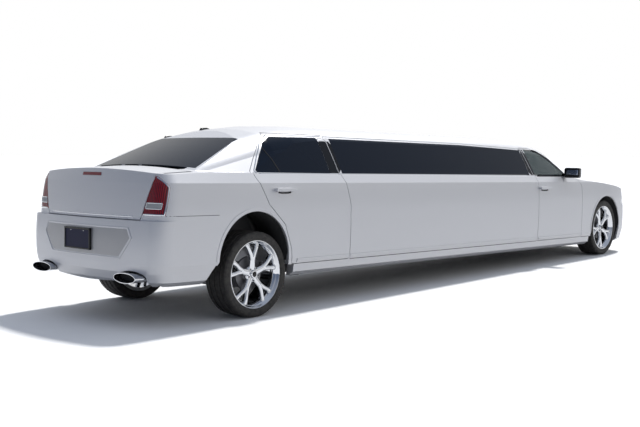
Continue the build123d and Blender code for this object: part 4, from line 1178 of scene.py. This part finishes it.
def add_dash():
    """Vents, screen, trim, dials and the hood over them."""
    face = WHEELBASE - 1130
    vents = (-700, -90, 90, 700)
    frames = [(face - 22, face - 8, y - 62, y + 62, 868, 912) for y in vents]
    bars("dash_vents", frames, CHROME, 5)
    slats = []
    for y in vents:
        slats += [(face - 26, face - 20, y - 54, y + 54, z - 2, z + 2) for z in (878, 886, 894, 902)]
    bars("dash_slats", slats, PLASTIC, 1)
    bars("dash_screen", [(face - 16, face - 4, -140, 140, 770, 852)], BLACK, 4)
    bars("dash_trim", [(face - 6, face + 16, -820, 820, 742, 758)], VENEER, 3)
    for y in (330, 470):
        turned("dial_%d" % y, DIAL, 32, P(face - 8, y, 930), -AHEAD, CHROME)
    hood = [(face - 60, 985), (face + 60, 1004), (face + 120, 985), (face + 60, 975)]
    prism("dash_hood", hood, 230, 570, PLASTIC)


BAR_TOP_Z = 823
DECANTER = [(1, 0), (34, 0), (36, 6), (36, 70), (30, 84), (12, 96), (11, 120), (15, 124), (1, 126)]
STEM_GLASS = [(1, 0), (26, 0), (27, 3), (5, 8), (4, 50), (22, 66), (27, 96), (25, 96), (20, 68), (2, 54)]


def add_bar():
    """Veneer top, rail, decanters and glasses for the bar counter."""
    x0, x1 = PARTITION_X - 2290, PARTITION_X - 10
    bars("bar_top", [(x0, x1, -INNER + 4, -INNER + 338, 800, 822)], VENEER, 6)
    rail = [P(x0 + 30, -INNER + 345, 790), P(x1 - 30, -INNER + 345, 790)]
    tube("bar_rail", rail, 9, CHROME)
    for i in range(4):
        spot = P(x0 + 400 + 460 * i, -INNER + 150, BAR_TOP_Z)
        turned("decanter_%d" % i, DECANTER, 24, spot, UP, GREY_LENS)
    for i in range(6):
        spot = P(x0 + 250 + 330 * i, -INNER + 240, BAR_TOP_Z)
        turned("stem_glass_%d" % i, STEM_GLASS, 20, spot, UP, CLEAR_LENS)


for side, way in SIDES:
    door_card(way, side, "rear", 560, 1130)
    door_card(way, side, "front", FRONT_REAR + 90, FRONT_EDGE - 120)
add_carpets()
add_dash()
add_bar()


# Exhaust
TIP_POINTS, TIP_LENGTH, TIP_DEPTH, TIP_PLUG = 32, 0.09, 0.07, 0.004


def add_tip_shade(way, side):
    """A dark plug inside a tail pipe's tip: painted shade where the pipe runs on inward."""
    mouth = [v.co for v in NODES["exhaust_tips"].data.vertices if v.co.y * side > 0]
    back = min(v.x for v in mouth)
    mouth = [v for v in mouth if v.x < back + TIP_LENGTH]
    ys, zs = [v.y for v in mouth], [v.z for v in mouth]
    middle = Vector((back + TIP_DEPTH, (min(ys) + max(ys)) / 2, (min(zs) + max(zs)) / 2))
    wide, tall = (max(ys) - min(ys)) / 2 - 0.006, (max(zs) - min(zs)) / 2 - 0.008
    verts = []
    for x, i in product((0, TIP_PLUG), range(TIP_POINTS)):
        a = 2 * pi * i / TIP_POINTS
        verts.append(middle + Vector((x, wide * cos(a), tall * sin(a))))
    faces = caps(2 * TIP_POINTS, TIP_POINTS) + skin(2, TIP_POINTS, ring=True)
    new_piece("tip_shade_" + way, verts, faces, LINER)


for side, way in SIDES:
    add_tip_shade(way, side)


# Floor, light and backdrop
FLOOR_HALF = 150.0
FLOOR_BOUNCE = (0.22, 0.22, 0.22, 1)
SUN_ENERGY, SUN_ANGLE = 3.1, 5
SUN_COLOR = (1.0, 0.985, 0.96)
SUN_WAY = (-0.5, -0.1, -0.86)
# The world's colours by height, and behind the car
SKY_TOP, SKY_MIDDLE = (0.4, 0.45, 0.55), (1, 1, 1)
SKY_LOW, SKY_BEHIND = (0.5, 0.51, 0.53), (0.13, 0.17, 0.26)


def add_floor():
    """A pale floor, seen white, that bounces less light than it shows."""
    corners = [(x * FLOOR_HALF, y * FLOOR_HALF, 0) for x, y in ((-1, -1), (1, -1), (1, 1), (-1, 1))]
    mesh = bpy.data.meshes.new("floor")
    mesh.from_pydata(corners, [], [(0, 1, 2, 3)])
    floor = added("floor", mesh)
    mat = material("pale_floor", (0.9, 0.9, 0.9), 0.9, Specular_IOR_Level=0.0)
    vary_color(mat, noise(mat, 2.0, 2.0), (0.89, 0.89, 0.89), (0.91, 0.91, 0.91))
    mesh.materials.append(mat)
    net = mat.node_tree
    path = new_node(net, "LightPath").outputs
    seen = new_node(net, "Math", path["Is Camera Ray"], path["Is Transmission Ray"])
    shown = new_node(net, "Math", seen.outputs[0], path["Is Glossy Ray"])
    seen.operation = shown.operation = "MAXIMUM"
    dull = new_node(net, "BsdfDiffuse", FLOOR_BOUNCE)
    bright = net.nodes["Principled BSDF"]
    choose = new_node(net, "MixShader", shown.outputs[0], dull.outputs[0], bright.outputs[0])
    net.links.new(choose.outputs[0], net.nodes["Material Output"].inputs["Surface"])


def add_sun():
    data = bpy.data.lights.new("sun", "SUN")
    data.energy = SUN_ENERGY
    data.angle = radians(SUN_ANGLE)
    data.color = SUN_COLOR
    added("sun", data).rotation_euler = Vector(SUN_WAY).to_track_quat("-Z", "Y").to_euler()


def add_world():
    """Studio light, bluer above and behind, white to the camera."""
    world = bpy.data.worlds.new("studio")
    bpy.context.scene.world = world
    world.use_nodes = True
    net = world.node_tree
    split = new_node(net, "SeparateXYZ", new_node(net, "TexCoord").outputs["Generated"]).outputs
    height = new_ramp(net, split["Z"], (0.0, SKY_LOW), (0.8, SKY_TOP))
    height.color_ramp.elements.new(0.3).color = (*SKY_MIDDLE, 1)
    shift = new_node(net, "MapRange", split["X"], From_Min=-0.9, From_Max=-0.1)
    mix = new_node(net, "Mix")
    mix.data_type = "RGBA"
    mix.inputs["A"].default_value = (*SKY_BEHIND, 1)
    net.links.new(shift.outputs[0], mix.inputs["Factor"])
    net.links.new(height.outputs["Color"], mix.inputs["B"])
    light = net.nodes["Background"]
    light.inputs["Strength"].default_value = 1.0
    net.links.new(mix.outputs["Result"], light.inputs["Color"])
    plain = new_node(net, "Background", (1, 1, 1, 1), 1.0)
    seen = new_node(net, "LightPath").outputs["Is Camera Ray"]
    choose = new_node(net, "MixShader", seen, light.outputs[0], plain.outputs[0])
    net.links.new(choose.outputs[0], net.nodes["World Output"].inputs["Surface"])


add_floor()
add_sun()
add_world()
bpy.context.scene.view_settings.view_transform = "Standard"
